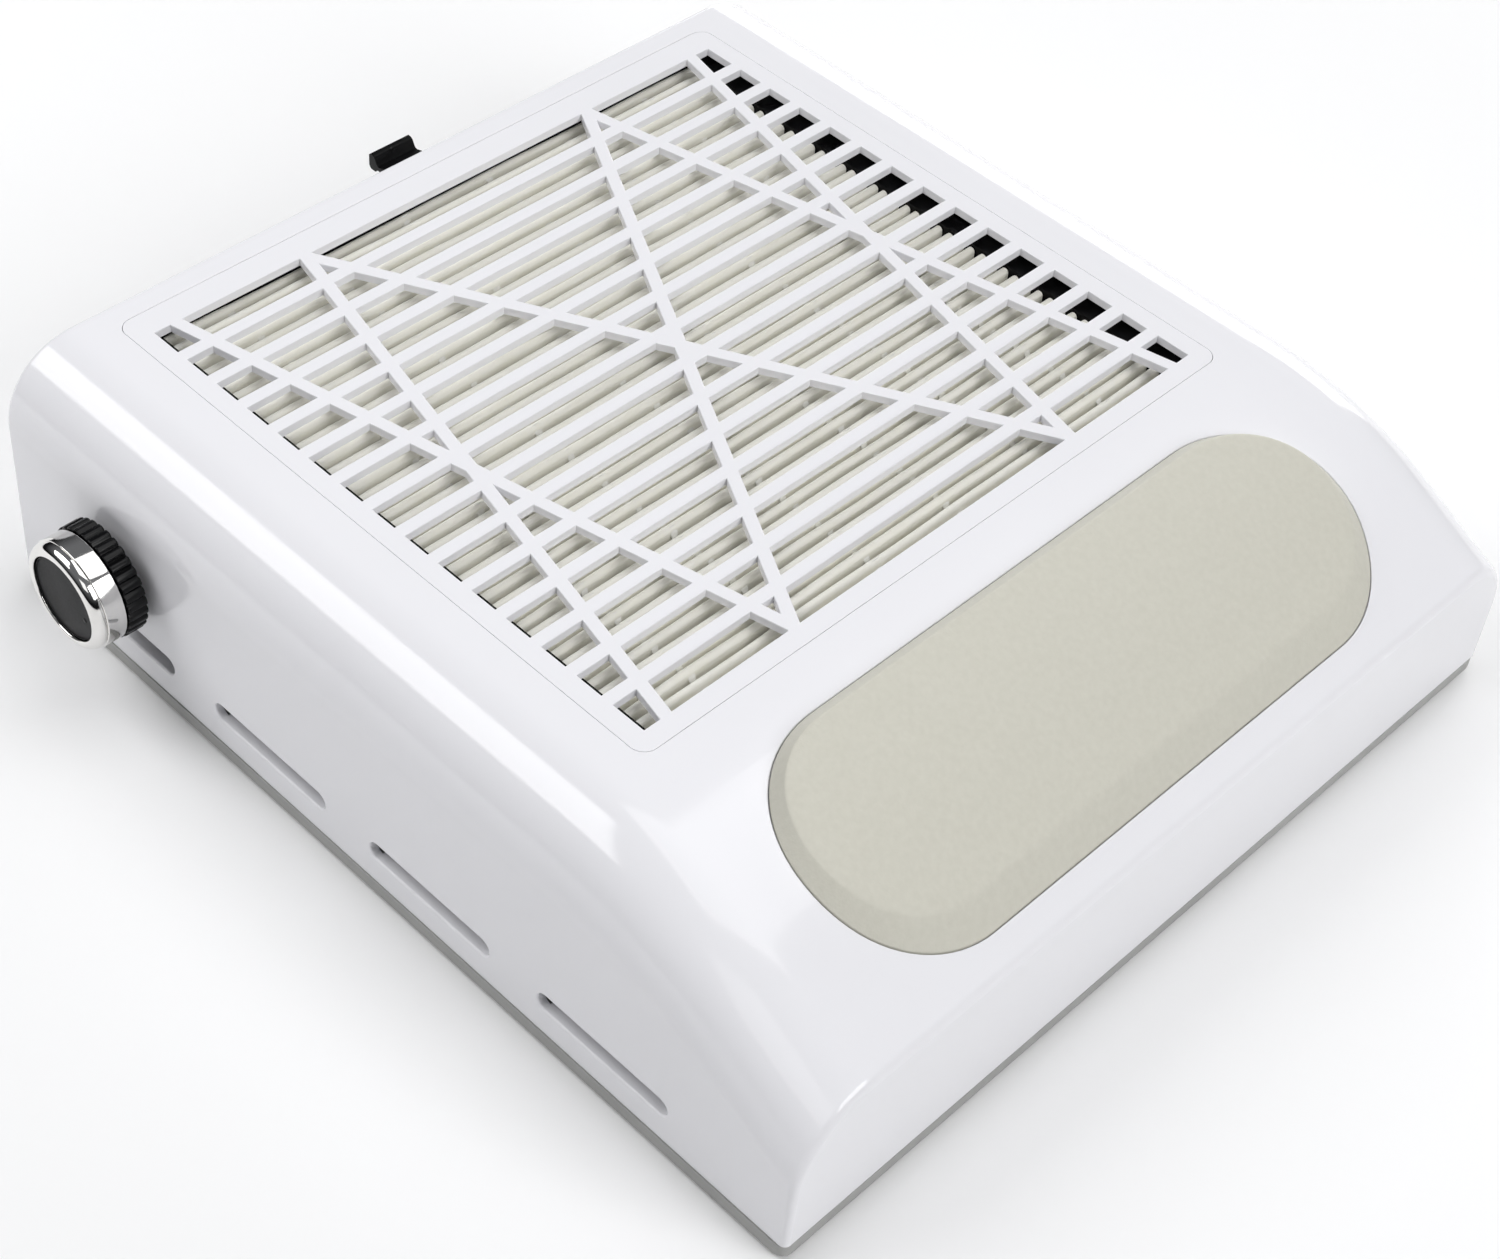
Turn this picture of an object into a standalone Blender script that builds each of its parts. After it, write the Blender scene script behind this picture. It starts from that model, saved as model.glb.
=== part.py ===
"""Nail dust collector: a desktop suction box with a grille, a drawer-type filter and a hand rest.

Units are metres and +Z is up. The outline is drawn about the centre of the grille, with +X to the
right and +Y to the back, and the datum empty moves it so that the origin is under the middle of the
whole object, at table level.
"""

import math

import bmesh
import bpy
from mathutils import Matrix, Vector

MM = 0.001
GAP = 0.3 * MM  # clearance between neighbouring pieces

# Overall body
FOOT_STAND = 1.5 * MM
BASE_EDGE = 3.8 * MM
TOP = 73.3 * MM
BACK = 102.0 * MM
FRONT = -171.5 * MM
HALF_WIDTH = 131.5 * MM
WALL = 2.2 * MM
SIDE_DRAFT = 0.02  # sideways per unit of height
CORNER = 21.0 * MM  # rounding between roof and sides
CORNER_STEPS = 8
EDGE_ROUND = 1.8 * MM  # front and back outlines

# Roof profile: level, then an arc, then a straight slope to the front
SLOPE_START = -92.4 * MM
SLOPE_RADIUS = 113.0 * MM
SLOPE_ANGLE = math.radians(28.2)
SLOPE_STEPS = 5

# Grille
PANEL_HALF_X = 100.8 * MM
PANEL_BACK = 94.4 * MM
PANEL_FRONT = -91.9 * MM
PANEL_ROUND = 4.0 * MM
PANEL_THICK = 2.3 * MM
LEDGE_DROP = 4.0 * MM  # roof to the underside of the ledge
LEDGE_WIDTH = 3.2 * MM
LEDGE_REACH = 3.0 * MM  # ledge beyond the panel, into the roof
GRILLE_HALF_X = 95.2 * MM
GRILLE_HALF_Y = 86.35 * MM
SLATS = 14
SLAT_PITCH = 11.54 * MM
SLAT_WIDTH = 3.7 * MM
FIRST_SLAT = 75.25 * MM
RIB_WIDTH = 3.5 * MM
RIB_INNER = 48.6 * MM  # where ribs of two crosses meet on the grille's edge
RIB_OUTER = 88.7 * MM
SMALLEST_CELL = 1.5 * MM * MM

# Hand rest, measured along the slope
PAD_HALF_X = 94.4 * MM
PAD_HALF_S = 30.9 * MM
PAD_ROUND = 30.6 * MM
PAD_MIDDLE = -135.2 * MM
PAD_LEAN = math.cos(math.radians(22.2))
PAD_SINK = 1.1 * MM
PAD_RISE = 3.8 * MM
PAD_BEVEL = 4.0 * MM
PAD_FRONT_BEVEL = 6.8 * MM
PAD_RINGS = (8.0 * MM, 16.0 * MM, 24.0 * MM)  # keep the wide faces bent along the slope

# Side vents, each side alike
VENTS = 4
VENT_LENGTH = 41.3 * MM
VENT_HEIGHT = 5.4 * MM
VENT_PITCH = 57.7 * MM
FIRST_VENT = -113.8 * MM
VENT_LEVEL = FOOT_STAND + 14.7 * MM

# Filter drawer
DRAWER_HALF_X = 99.5 * MM
DRAWER_FRONT = -90.2 * MM
DRAWER_BOTTOM = 46.8 * MM
DRAWER_TOP = 68.5 * MM
MOUTH_GAP = 0.6 * MM  # drawer to its mouth in the back wall
MEDIA_HALF_X = 91.4 * MM
MEDIA_FRONT = -85.6 * MM
MEDIA_BACK = 89.6 * MM
MEDIA_BOTTOM = 49.6 * MM
MEDIA_TOP = 67.9 * MM
PLEATS = 45
FOLD_DEPTH = 4.5 * MM  # the folded paper's thickness, measured upright
TAB_LEFT = -5.4 * MM
TAB_RIGHT = 7.9 * MM
TAB_REACH = 11.5 * MM

# Tray under the drawer
TRAY_FLOOR = 43.5 * MM
TRAY_THICK = 2.0 * MM
TRAY_HALF_X = 101.8 * MM
TRAY_WALL = 1.8 * MM
INLET_RADIUS = 54.0 * MM

# Fan and motor, on the grille's centre line
MOTOR_RADIUS = 20.0 * MM
MOTOR_BOTTOM = 10.5 * MM
MOTOR_TOP = 29.0 * MM
SHAFT_RADIUS = 1.5 * MM
SHAFT_BORE = 1.8 * MM
WHEEL_RADIUS = 60.5 * MM
WHEEL_BOTTOM = 14.0 * MM
WHEEL_TOP = 39.3 * MM
BLADES = 28
BRACKET_REACH = 36.0 * MM
MOTOR_SCREWS = (-8.0 * MM, 8.0 * MM)
MOTOR_SCREW_BORE = 1.4 * MM

# Speed knob, on the left side
KNOB_Y = 57.3 * MM
KNOB_Z = FOOT_STAND + 36.3 * MM
KNOB_STANDOFF = 2.9 * MM  # body side to the skirt's rear
KNOB_HOLE = 4.5 * MM
CORE_RADIUS = 12.4 * MM
POT_SHAFT = 3.0 * MM
POT_RADIUS = 8.2 * MM
POT_REAR = 119.6 * MM  # from the middle plane
POT_DEPTH = 122.0 * MM  # shaft's inner end, from the middle plane
SKIRT_LENGTH = 5.6 * MM
SKIRT_RADIUS = 15.1 * MM
SKIRT_RIBS = 32
RIB_DEPTH = 0.7 * MM
KNOB_LENGTH = 14.3 * MM
SOCKET_TOP = 10.5 * MM
RING_RADIUS = 14.7 * MM
CAP_RADIUS = 11.2 * MM
POINTER_ANGLE = math.radians(101.0)  # clockwise from the top, seen from the left
POINTER_REACH = 8.0 * MM
POINTER_RADIUS = 0.8 * MM

# Screw posts: (x, y) on the right side, mirrored to the left
BASE_POSTS = ((113.0 * MM, 88.0 * MM), (113.0 * MM, -28.0 * MM), (105.0 * MM, -155.0 * MM))
TRAY_POSTS = ((108.0 * MM, 78.0 * MM), (108.0 * MM, -75.0 * MM))
FOOT_PLACES = ((113.0 * MM, 66.0 * MM), (110.0 * MM, -130.0 * MM))
POST_RADIUS = 3.5 * MM
TALL_POST_TOP = 71.5 * MM
FRONT_POST_TOP = 52.6 * MM
PILOT_RADIUS = 1.6 * MM
SCREW_BORE = 1.8 * MM
SCREW_SINK = 1.9 * MM  # depth of the sunk screw heads
FOOT_SINK = 1.1 * MM
LIP_HEIGHT = 3.2 * MM
LIP_THICK = 1.6 * MM
SCREW_SHANK = 1.3 * MM
SCREW_HEAD = 2.9 * MM
FOOT_RADIUS = 6.0 * MM

# Control board, in the front
BOARD_X = (-96.0 * MM, -6.0 * MM)
BOARD_Y = (-160.0 * MM, -112.0 * MM)
BOARD_BOTTOM = 9.0 * MM
BOARD_THICK = 1.6 * MM
BOARD_INSET = 4.0 * MM
CONNECTORS = (-26.0 * MM, -84.0 * MM, -64.0 * MM)  # left edges: motor, speed knob, power
CONNECTOR_Y = (-155.0 * MM, -149.0 * MM)
CONNECTOR_LENGTH = 10.0 * MM
CONNECTOR_HEIGHT = 7.0 * MM
CABLE_RADIUS = 1.4 * MM
CABLE_LEVEL = 7.2 * MM  # centre of a cable that lies on the base

# Power inlet, in the back
JACK_X = 95.0 * MM
JACK_Z = 18.0 * MM
JACK_LENGTH = 14.0 * MM
JACK_HOLE = 4.2 * MM
BEYOND = 5.0 * MM  # how far a cutter runs past what it cuts

BASE_TOP = FOOT_STAND + BASE_EDGE
BRACKET_TOP = BOARD_BOTTOM + 1.2 * MM
RIM = BASE_TOP + GAP
SLOPE_END = SLOPE_START - SLOPE_RADIUS * math.sin(SLOPE_ANGLE)
KNOB_REAR = HALF_WIDTH - 0.9 * MM + KNOB_STANDOFF  # the side leans in 0.9 mm up to the knob
KNOB_FACE = KNOB_REAR + KNOB_LENGTH
DATUM_X = (KNOB_FACE - HALF_WIDTH) / 2
DATUM_Y = -(BACK + TAB_REACH + FRONT) / 2


# ---------------------------------------------------------------- scene and materials

def clear_scene():
    for obj in list(bpy.data.objects):
        bpy.data.objects.remove(obj)


def material(name, color, roughness, metallic=0.0):
    mat = bpy.data.materials.new(name)
    mat.use_nodes = True
    shader = mat.node_tree.nodes["Principled BSDF"]
    shader.inputs["Base Color"].default_value = (*color, 1.0)
    shader.inputs["Roughness"].default_value = roughness
    shader.inputs["Metallic"].default_value = metallic
    return mat


def make_materials():
    return {
        "white_abs": material("white_abs", (0.86, 0.86, 0.89), 0.22),
        "tray_abs": material("tray_abs", (0.72, 0.72, 0.74), 0.45),
        "base_grey": material("base_grey", (0.19, 0.19, 0.18), 0.5),
        "pad_greige": material("pad_greige", (0.60, 0.58, 0.50), 0.6),
        "frame_black": material("frame_black", (0.008, 0.008, 0.009), 0.35),
        "paper": material("paper", (0.82, 0.80, 0.72), 0.85),
        "wheel_black": material("wheel_black", (0.02, 0.02, 0.022), 0.4),
        "knob_black": material("knob_black", (0.012, 0.012, 0.013), 0.4),
        "knob_chrome": material("knob_chrome", (0.80, 0.79, 0.77), 0.08, 1.0),
        "cap_grey": material("cap_grey", (0.06, 0.06, 0.062), 0.35, 0.4),
        "steel": material("steel", (0.62, 0.62, 0.63), 0.3, 1.0),
        "aluminium": material("aluminium", (0.70, 0.71, 0.72), 0.35, 1.0),
        "board_green": material("board_green", (0.02, 0.16, 0.07), 0.45),
        "can_blue": material("can_blue", (0.02, 0.04, 0.13), 0.35),
        "rubber": material("rubber", (0.03, 0.03, 0.03), 0.8),
        "nylon": material("nylon", (0.85, 0.84, 0.78), 0.5),
        "cable_sheath": material("cable_sheath", (0.015, 0.015, 0.016), 0.5),
    }


# ---------------------------------------------------------------- mesh helpers

def solid(name, verts, faces, mat=None, parent=None, smooth=30.0):
    """A mesh object with its faces pointing out and its round stretches shaded smooth."""
    mesh = bpy.data.meshes.new(name)
    mesh.from_pydata(verts, [], faces)
    shape = bmesh.new()
    shape.from_mesh(mesh)
    bmesh.ops.recalc_face_normals(shape, faces=shape.faces)
    shape.to_mesh(mesh)
    shape.free()
    mesh.shade_smooth()
    mesh.set_sharp_from_angle(angle=math.radians(smooth))
    obj = bpy.data.objects.new(name, mesh)
    bpy.context.collection.objects.link(obj)
    if mat:
        mesh.materials.append(mat)
    obj.parent = parent
    return obj


def loft_data(loops, closed=False, start=0):
    """Vertices and faces of a skin over loops of equally many points, capped unless it closes."""
    count = len(loops[0])
    verts = [point for loop in loops for point in loop]
    spans = len(loops) if closed else len(loops) - 1
    faces = []
    for span in range(spans):
        low = start + span * count
        high = start + (span + 1) % len(loops) * count
        for i in range(count):
            j = (i + 1) % count
            faces.append((low + i, low + j, high + j, high + i))
    if not closed:
        faces.append(tuple(start + i for i in range(count)))
        faces.append(tuple(start + (len(loops) - 1) * count + i for i in range(count)))
    return verts, faces


def loft(name, loops, closed=False, **options):
    verts, faces = loft_data(loops, closed)
    return solid(name, verts, faces, **options)


def prisms(name, outlines, low, high, **options):
    """One mesh of upright prisms, one for each outline of (x, y) points."""
    verts = []
    faces = []
    for outline in outlines:
        loops = [[(x, y, z) for x, y in outline] for z in (low, high)]
        more_verts, more_faces = loft_data(loops, start=len(verts))
        verts += more_verts
        faces += more_faces
    return solid(name, verts, faces, **options)


def prism(name, outline, low, high, **options):
    return prisms(name, [outline], low, high, **options)


def along(axis, name, outlines, low, high, **options):
    """Prisms along X from (y, z) outlines, or along Y from (x, z) outlines."""
    obj = prisms(name, outlines, low, high, **options)
    columns = {"X": ((0, 0, 1), (1, 0, 0), (0, 1, 0)), "Y": ((1, 0, 0), (0, 0, 1), (0, 1, 0))}
    obj.data.transform(Matrix(columns[axis]).to_4x4())
    if axis == "Y":
        obj.data.flip_normals()
    return obj


def turned(name, profile, steps=32, **options):
    """A ring or disc turned about Z from a closed (radius, z) profile that stays off the axis."""
    loops = []
    for i in range(steps):
        angle = math.tau * i / steps
        loops.append([(r * math.cos(angle), r * math.sin(angle), z) for r, z in profile])
    return loft(name, loops, closed=True, **options)


def rectangle(x0, x1, y0, y1):
    return [(x0, y0), (x1, y0), (x1, y1), (x0, y1)]


def circle(radius, steps=16, x=0.0, y=0.0):
    angles = [math.tau * i / steps for i in range(steps)]
    return [(x + radius * math.cos(a), y + radius * math.sin(a)) for a in angles]


def rounded(x0, x1, y0, y1, radius, steps=4):
    """A rectangle with round corners, from its lower right corner round to the left."""
    corners = (
        (x1 - radius, y0 + radius, -90.0),
        (x1 - radius, y1 - radius, 0.0),
        (x0 + radius, y1 - radius, 90.0),
        (x0 + radius, y0 + radius, 180.0),
    )
    points = []
    for x, y, first in corners:
        for i in range(steps + 1):
            angle = math.radians(first + 90.0 * i / steps)
            points.append((x + radius * math.cos(angle), y + radius * math.sin(angle)))
    return points


def hidden(obj):
    obj.hide_render = True
    obj.display_type = "WIRE"
    return obj


def combine(target, tool, operation):
    tool.parent = target.parent
    step = target.modifiers.new(tool.name, "BOOLEAN")
    step.object = hidden(tool)
    step.operation = operation
    step.solver = "EXACT"


def cut(target, tool):
    combine(target, tool, "DIFFERENCE")


def join(target, tool):
    combine(target, tool, "UNION")


def both_sides(places):
    """Each (x, y) place and its mirror image, right side first."""
    return [(side * x, y) for x, y in places for side in (1, -1)]


def empty(name, location, parent=None, rotation=(0.0, 0.0, 0.0)):
    obj = bpy.data.objects.new(name, None)
    obj.location = location
    obj.rotation_euler = rotation
    obj.parent = parent
    bpy.context.collection.objects.link(obj)
    return obj


# ---------------------------------------------------------------- body outline

def roof_height(y):
    """The roof's outer height on the middle line."""
    if y >= SLOPE_START:
        return TOP
    if y >= SLOPE_END:
        run = SLOPE_START - y
        return TOP - SLOPE_RADIUS + math.sqrt(SLOPE_RADIUS**2 - run**2)
    arc_drop = SLOPE_RADIUS * (1 - math.cos(SLOPE_ANGLE))
    return TOP - arc_drop - (SLOPE_END - y) * math.tan(SLOPE_ANGLE)


def side_at(z):
    """Half the housing's width at a height: a little narrower towards the top."""
    return HALF_WIDTH - GAP - SIDE_DRAFT * (z - RIM)


def section(y, station, inset, low):
    """Cross-section at y whose roof follows the station's height, all of it inset by the wall."""
    roof = roof_height(station) - inset
    radius = CORNER - inset
    shoulder = roof - radius
    points = [(side_at(low) - inset, y, low)]
    middle = side_at(shoulder + inset) - inset - radius
    for i in range(CORNER_STEPS + 1):
        angle = math.pi / 2 * i / CORNER_STEPS
        points.append((middle + radius * math.cos(angle), y, shoulder + radius * math.sin(angle)))
    return points + [(-x, y, z) for x, y, z in reversed(points)]


def body_loops(inset, low):
    turns = [SLOPE_ANGLE * i / SLOPE_STEPS for i in range(SLOPE_STEPS + 1)]
    stations = [BACK] + [SLOPE_START - SLOPE_RADIUS * math.sin(turn) for turn in turns] + [FRONT]
    places = [BACK - inset] + stations[1:-1] + [FRONT + inset]
    return [section(y, station, inset, low) for y, station in zip(places, stations)]


def pad_loop(inset, lift):
    """The hand rest's outline drawn in by inset, and by more at the front, at a lift above the roof."""
    more = (PAD_FRONT_BEVEL / PAD_BEVEL - 1) * min(max(inset, 0.0), PAD_BEVEL)
    half_x = PAD_HALF_X - inset
    half_s = PAD_HALF_S - inset - more / 2
    radius = PAD_ROUND - inset - more / 2
    middle = PAD_MIDDLE + more / 2 * PAD_LEAN
    outline = rounded(-half_x, half_x, -half_s, half_s, radius, steps=8)
    points = [(x, middle + s * PAD_LEAN) for x, s in outline]
    return [(x, y, roof_height(y) + lift) for x, y in points]


# ---------------------------------------------------------------- housing, base and grille

def make_housing(mats, datum):
    deep = -12.0 * MM
    housing = loft("top_housing", body_loops(0.0, deep), mat=mats["white_abs"], parent=datum)
    edges = housing.modifiers.new("edge_round", "BEVEL")
    edges.width = EDGE_ROUND
    edges.segments = 2
    edges.limit_method = "ANGLE"
    edges.angle_limit = math.radians(50.0)
    below = rectangle(-2 * HALF_WIDTH, 2 * HALF_WIDTH, 2 * FRONT, 2 * BACK)
    cut(housing, prism("trim_bottom", below, 2 * deep, RIM))
    cut(housing, loft("cavity", body_loops(WALL, deep)))

    ledge_x = PANEL_HALF_X + LEDGE_REACH
    ledge = rectangle(-ledge_x, ledge_x, PANEL_FRONT - LEDGE_REACH, PANEL_BACK + LEDGE_REACH)
    join(housing, prism("ledge", ledge, TOP - LEDGE_DROP, TOP - WALL / 2))
    tall_posts = [circle(POST_RADIUS, 10, x, y) for x, y in both_sides(BASE_POSTS[:2])]
    join(housing, prisms("tall_posts", tall_posts, RIM, TALL_POST_TOP))
    front_posts = [circle(POST_RADIUS, 10, x, y) for x, y in both_sides(BASE_POSTS[2:])]
    join(housing, prisms("front_posts", front_posts, RIM, FRONT_POST_TOP))
    tray_posts = [circle(POST_RADIUS, 10, x, y) for x, y in both_sides(TRAY_POSTS)]
    join(housing, prisms("tray_posts", tray_posts, TRAY_FLOOR + TRAY_THICK + GAP, TALL_POST_TOP))

    seat = rounded(-PANEL_HALF_X - GAP, PANEL_HALF_X + GAP, PANEL_FRONT - GAP, PANEL_BACK + GAP,
                   PANEL_ROUND + GAP)
    cut(housing, prism("panel_seat", seat, TOP - PANEL_THICK - GAP, TOP + BEYOND))
    inner = rounded(-PANEL_HALF_X + LEDGE_WIDTH, PANEL_HALF_X - LEDGE_WIDTH,
                    PANEL_FRONT + LEDGE_WIDTH, PANEL_BACK - LEDGE_WIDTH, PANEL_ROUND)
    cut(housing, prism("air_opening", inner, TOP - LEDGE_DROP - BEYOND, TOP))
    pocket = [pad_loop(inset, -PAD_SINK - GAP) for inset in (*reversed(PAD_RINGS), -GAP)]
    pocket.append([(x, y, TOP + BEYOND) for x, y, z in pocket[-1]])
    cut(housing, loft("pad_pocket", pocket))

    vents = []
    for i in range(VENTS):
        middle = FIRST_VENT + VENT_PITCH * i
        vents.append(rounded(middle - VENT_LENGTH / 2, middle + VENT_LENGTH / 2,
                             VENT_LEVEL - VENT_HEIGHT / 2, VENT_LEVEL + VENT_HEIGHT / 2,
                             VENT_HEIGHT / 2 - 0.1 * MM, steps=3))
    side = HALF_WIDTH + BEYOND
    cut(housing, along("X", "vents", vents, -side, side))
    hole = [circle(KNOB_HOLE, x=KNOB_Y, y=KNOB_Z)]
    cut(housing, along("X", "knob_hole", hole, -side, -side + 2 * BEYOND))
    hole = [circle(JACK_HOLE, x=JACK_X, y=JACK_Z)]
    cut(housing, along("Y", "jack_hole", hole, BACK - BEYOND, BACK + BEYOND))
    mouth = [rectangle(-DRAWER_HALF_X - MOUTH_GAP, DRAWER_HALF_X + MOUTH_GAP,
                       DRAWER_BOTTOM - MOUTH_GAP, DRAWER_TOP + MOUTH_GAP)]
    cut(housing, along("Y", "drawer_mouth", mouth, BACK - BEYOND, BACK + BEYOND))
    pilots = [circle(PILOT_RADIUS, 8, x, y) for x, y in both_sides(BASE_POSTS)]
    cut(housing, prisms("base_pilots", pilots, RIM - BEYOND, RIM + 14 * MM))
    pilots = [circle(PILOT_RADIUS, 8, x, y) for x, y in both_sides(TRAY_POSTS)]
    cut(housing, prisms("tray_pilots", pilots, TRAY_FLOOR, TRAY_FLOOR + 13 * MM))


def clipped(polygon, a, b, c):
    """The part of a convex polygon where a*x + b*y <= c."""
    kept = []
    for i, (x, y) in enumerate(polygon):
        next_x, next_y = polygon[(i + 1) % len(polygon)]
        here = a * x + b * y - c
        there = a * next_x + b * next_y - c
        if here <= 0:
            kept.append((x, y))
        if (here < 0 < there) or (there < 0 < here):
            t = here / (here - there)
            kept.append((x + t * (next_x - x), y + t * (next_y - y)))
    return kept


def area(polygon):
    ends = zip(polygon, polygon[1:] + polygon[:1])
    return abs(sum(x0 * y1 - x1 * y0 for (x0, y0), (x1, y1) in ends)) / 2


def grille_cells():
    """The holes between the slats, each row split by the six ribs, which cross in three pairs."""
    ends = (-RIB_OUTER, -RIB_INNER), (-RIB_INNER, RIB_INNER), (RIB_INNER, RIB_OUTER)
    ribs = [pair for a, b in ends for pair in ((a, b), (b, a))]
    edges = [GRILLE_HALF_Y]
    for i in range(SLATS):
        middle = FIRST_SLAT - SLAT_PITCH * i
        edges += [middle + SLAT_WIDTH / 2, middle - SLAT_WIDTH / 2]
    edges.append(-GRILLE_HALF_Y)
    cells = [rectangle(-GRILLE_HALF_X, GRILLE_HALF_X, low, high)
             for high, low in zip(edges[::2], edges[1::2])]
    for back_x, front_x in ribs:
        run = front_x - back_x
        drop = 2 * GRILLE_HALF_Y
        length = math.hypot(run, drop)
        a, b = drop / length, run / length
        c = a * back_x + b * GRILLE_HALF_Y
        halves = []
        for cell in cells:
            halves.append(clipped(cell, a, b, c - RIB_WIDTH / 2))
            halves.append(clipped(cell, -a, -b, -c - RIB_WIDTH / 2))
        cells = [half for half in halves if len(half) > 2 and area(half) > SMALLEST_CELL]
    return cells


def make_grille(mats, datum):
    outline = rounded(-PANEL_HALF_X, PANEL_HALF_X, PANEL_FRONT, PANEL_BACK, PANEL_ROUND)
    panel = prism("grille_panel", outline, TOP - PANEL_THICK, TOP, mat=mats["white_abs"], parent=datum)
    cut(panel, prisms("grille_holes", grille_cells(), TOP - PANEL_THICK - BEYOND, TOP + BEYOND))


def make_pad(mats, datum):
    chamfer = 0.6 * MM
    loops = [pad_loop(inset, -PAD_SINK) for inset in (*reversed(PAD_RINGS), chamfer)]
    loops += [pad_loop(0.0, chamfer - PAD_SINK), pad_loop(0.0, chamfer / 2)]
    loops += [pad_loop(inset, PAD_RISE) for inset in (PAD_BEVEL, *PAD_RINGS)]
    loft("hand_rest_pad", loops, mat=mats["pad_greige"], parent=datum, smooth=20.0)


def make_base(mats, datum):
    outline = rounded(-HALF_WIDTH, HALF_WIDTH, FRONT, BACK, 3.0 * MM)
    base = prism("base_cover", outline, FOOT_STAND, BASE_TOP, mat=mats["base_grey"], parent=datum)
    inset = WALL + 0.4 * MM
    lip = rounded(-HALF_WIDTH + GAP + inset, HALF_WIDTH - GAP - inset, FRONT + inset, BACK - inset, 2 * MM)
    inset += LIP_THICK
    core = rounded(-HALF_WIDTH + GAP + inset, HALF_WIDTH - GAP - inset, FRONT + inset, BACK - inset, 1 * MM)
    middle = FOOT_STAND + BASE_EDGE / 2
    over = BASE_TOP + LIP_HEIGHT + BEYOND
    join(base, prism("lip", lip, middle, BASE_TOP + LIP_HEIGHT))
    cut(base, prism("lip_core", core, BASE_TOP, over))
    stands = [circle(4 * MM, 10, x, y) for x, y in bracket_places()]
    stands += [circle(3 * MM, 10, x, y) for x, y in board_places()]
    join(base, prisms("stands", stands, middle, BOARD_BOTTOM - GAP))
    pilots = [circle(PILOT_RADIUS, 8, x, y) for x, y in bracket_places() + board_places()]
    cut(base, prisms("stand_pilots", pilots, BASE_TOP + 0.2 * MM, over))
    bores = [circle(SCREW_BORE, 8, x, y) for x, y in both_sides(BASE_POSTS)]
    cut(base, prisms("screw_bores", bores, 0.0, over))
    sinks = [circle(SCREW_HEAD + 0.7 * MM, 10, x, y) for x, y in both_sides(BASE_POSTS)]
    cut(base, prisms("screw_sinks", sinks, 0.0, FOOT_STAND + SCREW_SINK))
    pockets = [circle(FOOT_RADIUS + GAP, 16, x, y) for x, y in both_sides(FOOT_PLACES)]
    cut(base, prisms("foot_pockets", pockets, 0.0, FOOT_STAND + FOOT_SINK))

    for number, (x, y) in enumerate(both_sides(FOOT_PLACES), 1):
        top = FOOT_STAND + FOOT_SINK - GAP
        profile = [(FOOT_RADIUS - 0.5 * MM, 0.0), (FOOT_RADIUS, 0.5 * MM), (FOOT_RADIUS, top)]
        loops = [[(r * c, r * s, z) for c, s in circle(1.0, 16)] for r, z in profile]
        foot = loft(f"foot_{number}", loops, mat=mats["rubber"], parent=datum)
        foot.location = (x, y, 0.0)


# ---------------------------------------------------------------- filter drawer and its tray

def make_drawer(mats, slide):
    back = BACK - GAP
    outline = rectangle(-DRAWER_HALF_X, DRAWER_HALF_X, DRAWER_FRONT, back)
    frame = prism("filter_frame", outline, DRAWER_BOTTOM, DRAWER_TOP,
                  mat=mats["frame_black"], parent=slide)
    room = rectangle(-MEDIA_HALF_X - GAP, MEDIA_HALF_X + GAP, MEDIA_FRONT - GAP, MEDIA_BACK + GAP)
    cut(frame, prism("media_room", room, MEDIA_BOTTOM - GAP, TOP))
    bays = 4
    bar = 4 * MM
    rim = 3 * MM
    wide = MEDIA_HALF_X - rim
    low = MEDIA_FRONT + rim
    pitch = (MEDIA_BACK - rim - low + bar) / bays
    starts = [low + pitch * i for i in range(bays)]
    windows = [rectangle(-wide, wide, start, start + pitch - bar) for start in starts]
    cut(frame, prisms("floor_windows", windows, DRAWER_BOTTOM - BEYOND, MEDIA_BOTTOM))
    tip = BACK + TAB_REACH
    tab = [
        (back - 2 * MM, 65.3 * MM),
        (back - 2 * MM, 67.9 * MM),
        (tip - 3.6 * MM, 66.7 * MM),
        (tip - 2.2 * MM, 69.0 * MM),
        (tip - 0.5 * MM, 69.3 * MM),
        (tip, 68.7 * MM),
        (tip, 65.2 * MM),
        (tip - 1.4 * MM, 64.5 * MM),
        (tip - 2.7 * MM, 64.6 * MM),
        (tip - 3.2 * MM, 65.3 * MM),
    ]
    join(frame, along("X", "pull_tab", [tab], TAB_LEFT, TAB_RIGHT))

    step = (MEDIA_BACK - MEDIA_FRONT) / PLEATS / 2
    ridge = []
    for i in range(2 * PLEATS + 1):
        z = MEDIA_TOP if i % 2 else MEDIA_BOTTOM + FOLD_DEPTH
        ridge.append((MEDIA_FRONT + step * i, z))
    under = [(y, z - FOLD_DEPTH) for y, z in reversed(ridge)]
    along("X", "filter_media", [ridge + under], -MEDIA_HALF_X, MEDIA_HALF_X,
          mat=mats["paper"], parent=slide)


def sector(inner, outer, first, last, steps):
    """A piece of a flat ring between two angles."""
    angles = [first + (last - first) * i / steps for i in range(steps + 1)]
    points = [(outer * math.cos(a), outer * math.sin(a)) for a in angles]
    return points + [(inner * math.cos(a), inner * math.sin(a)) for a in reversed(angles)]


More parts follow.
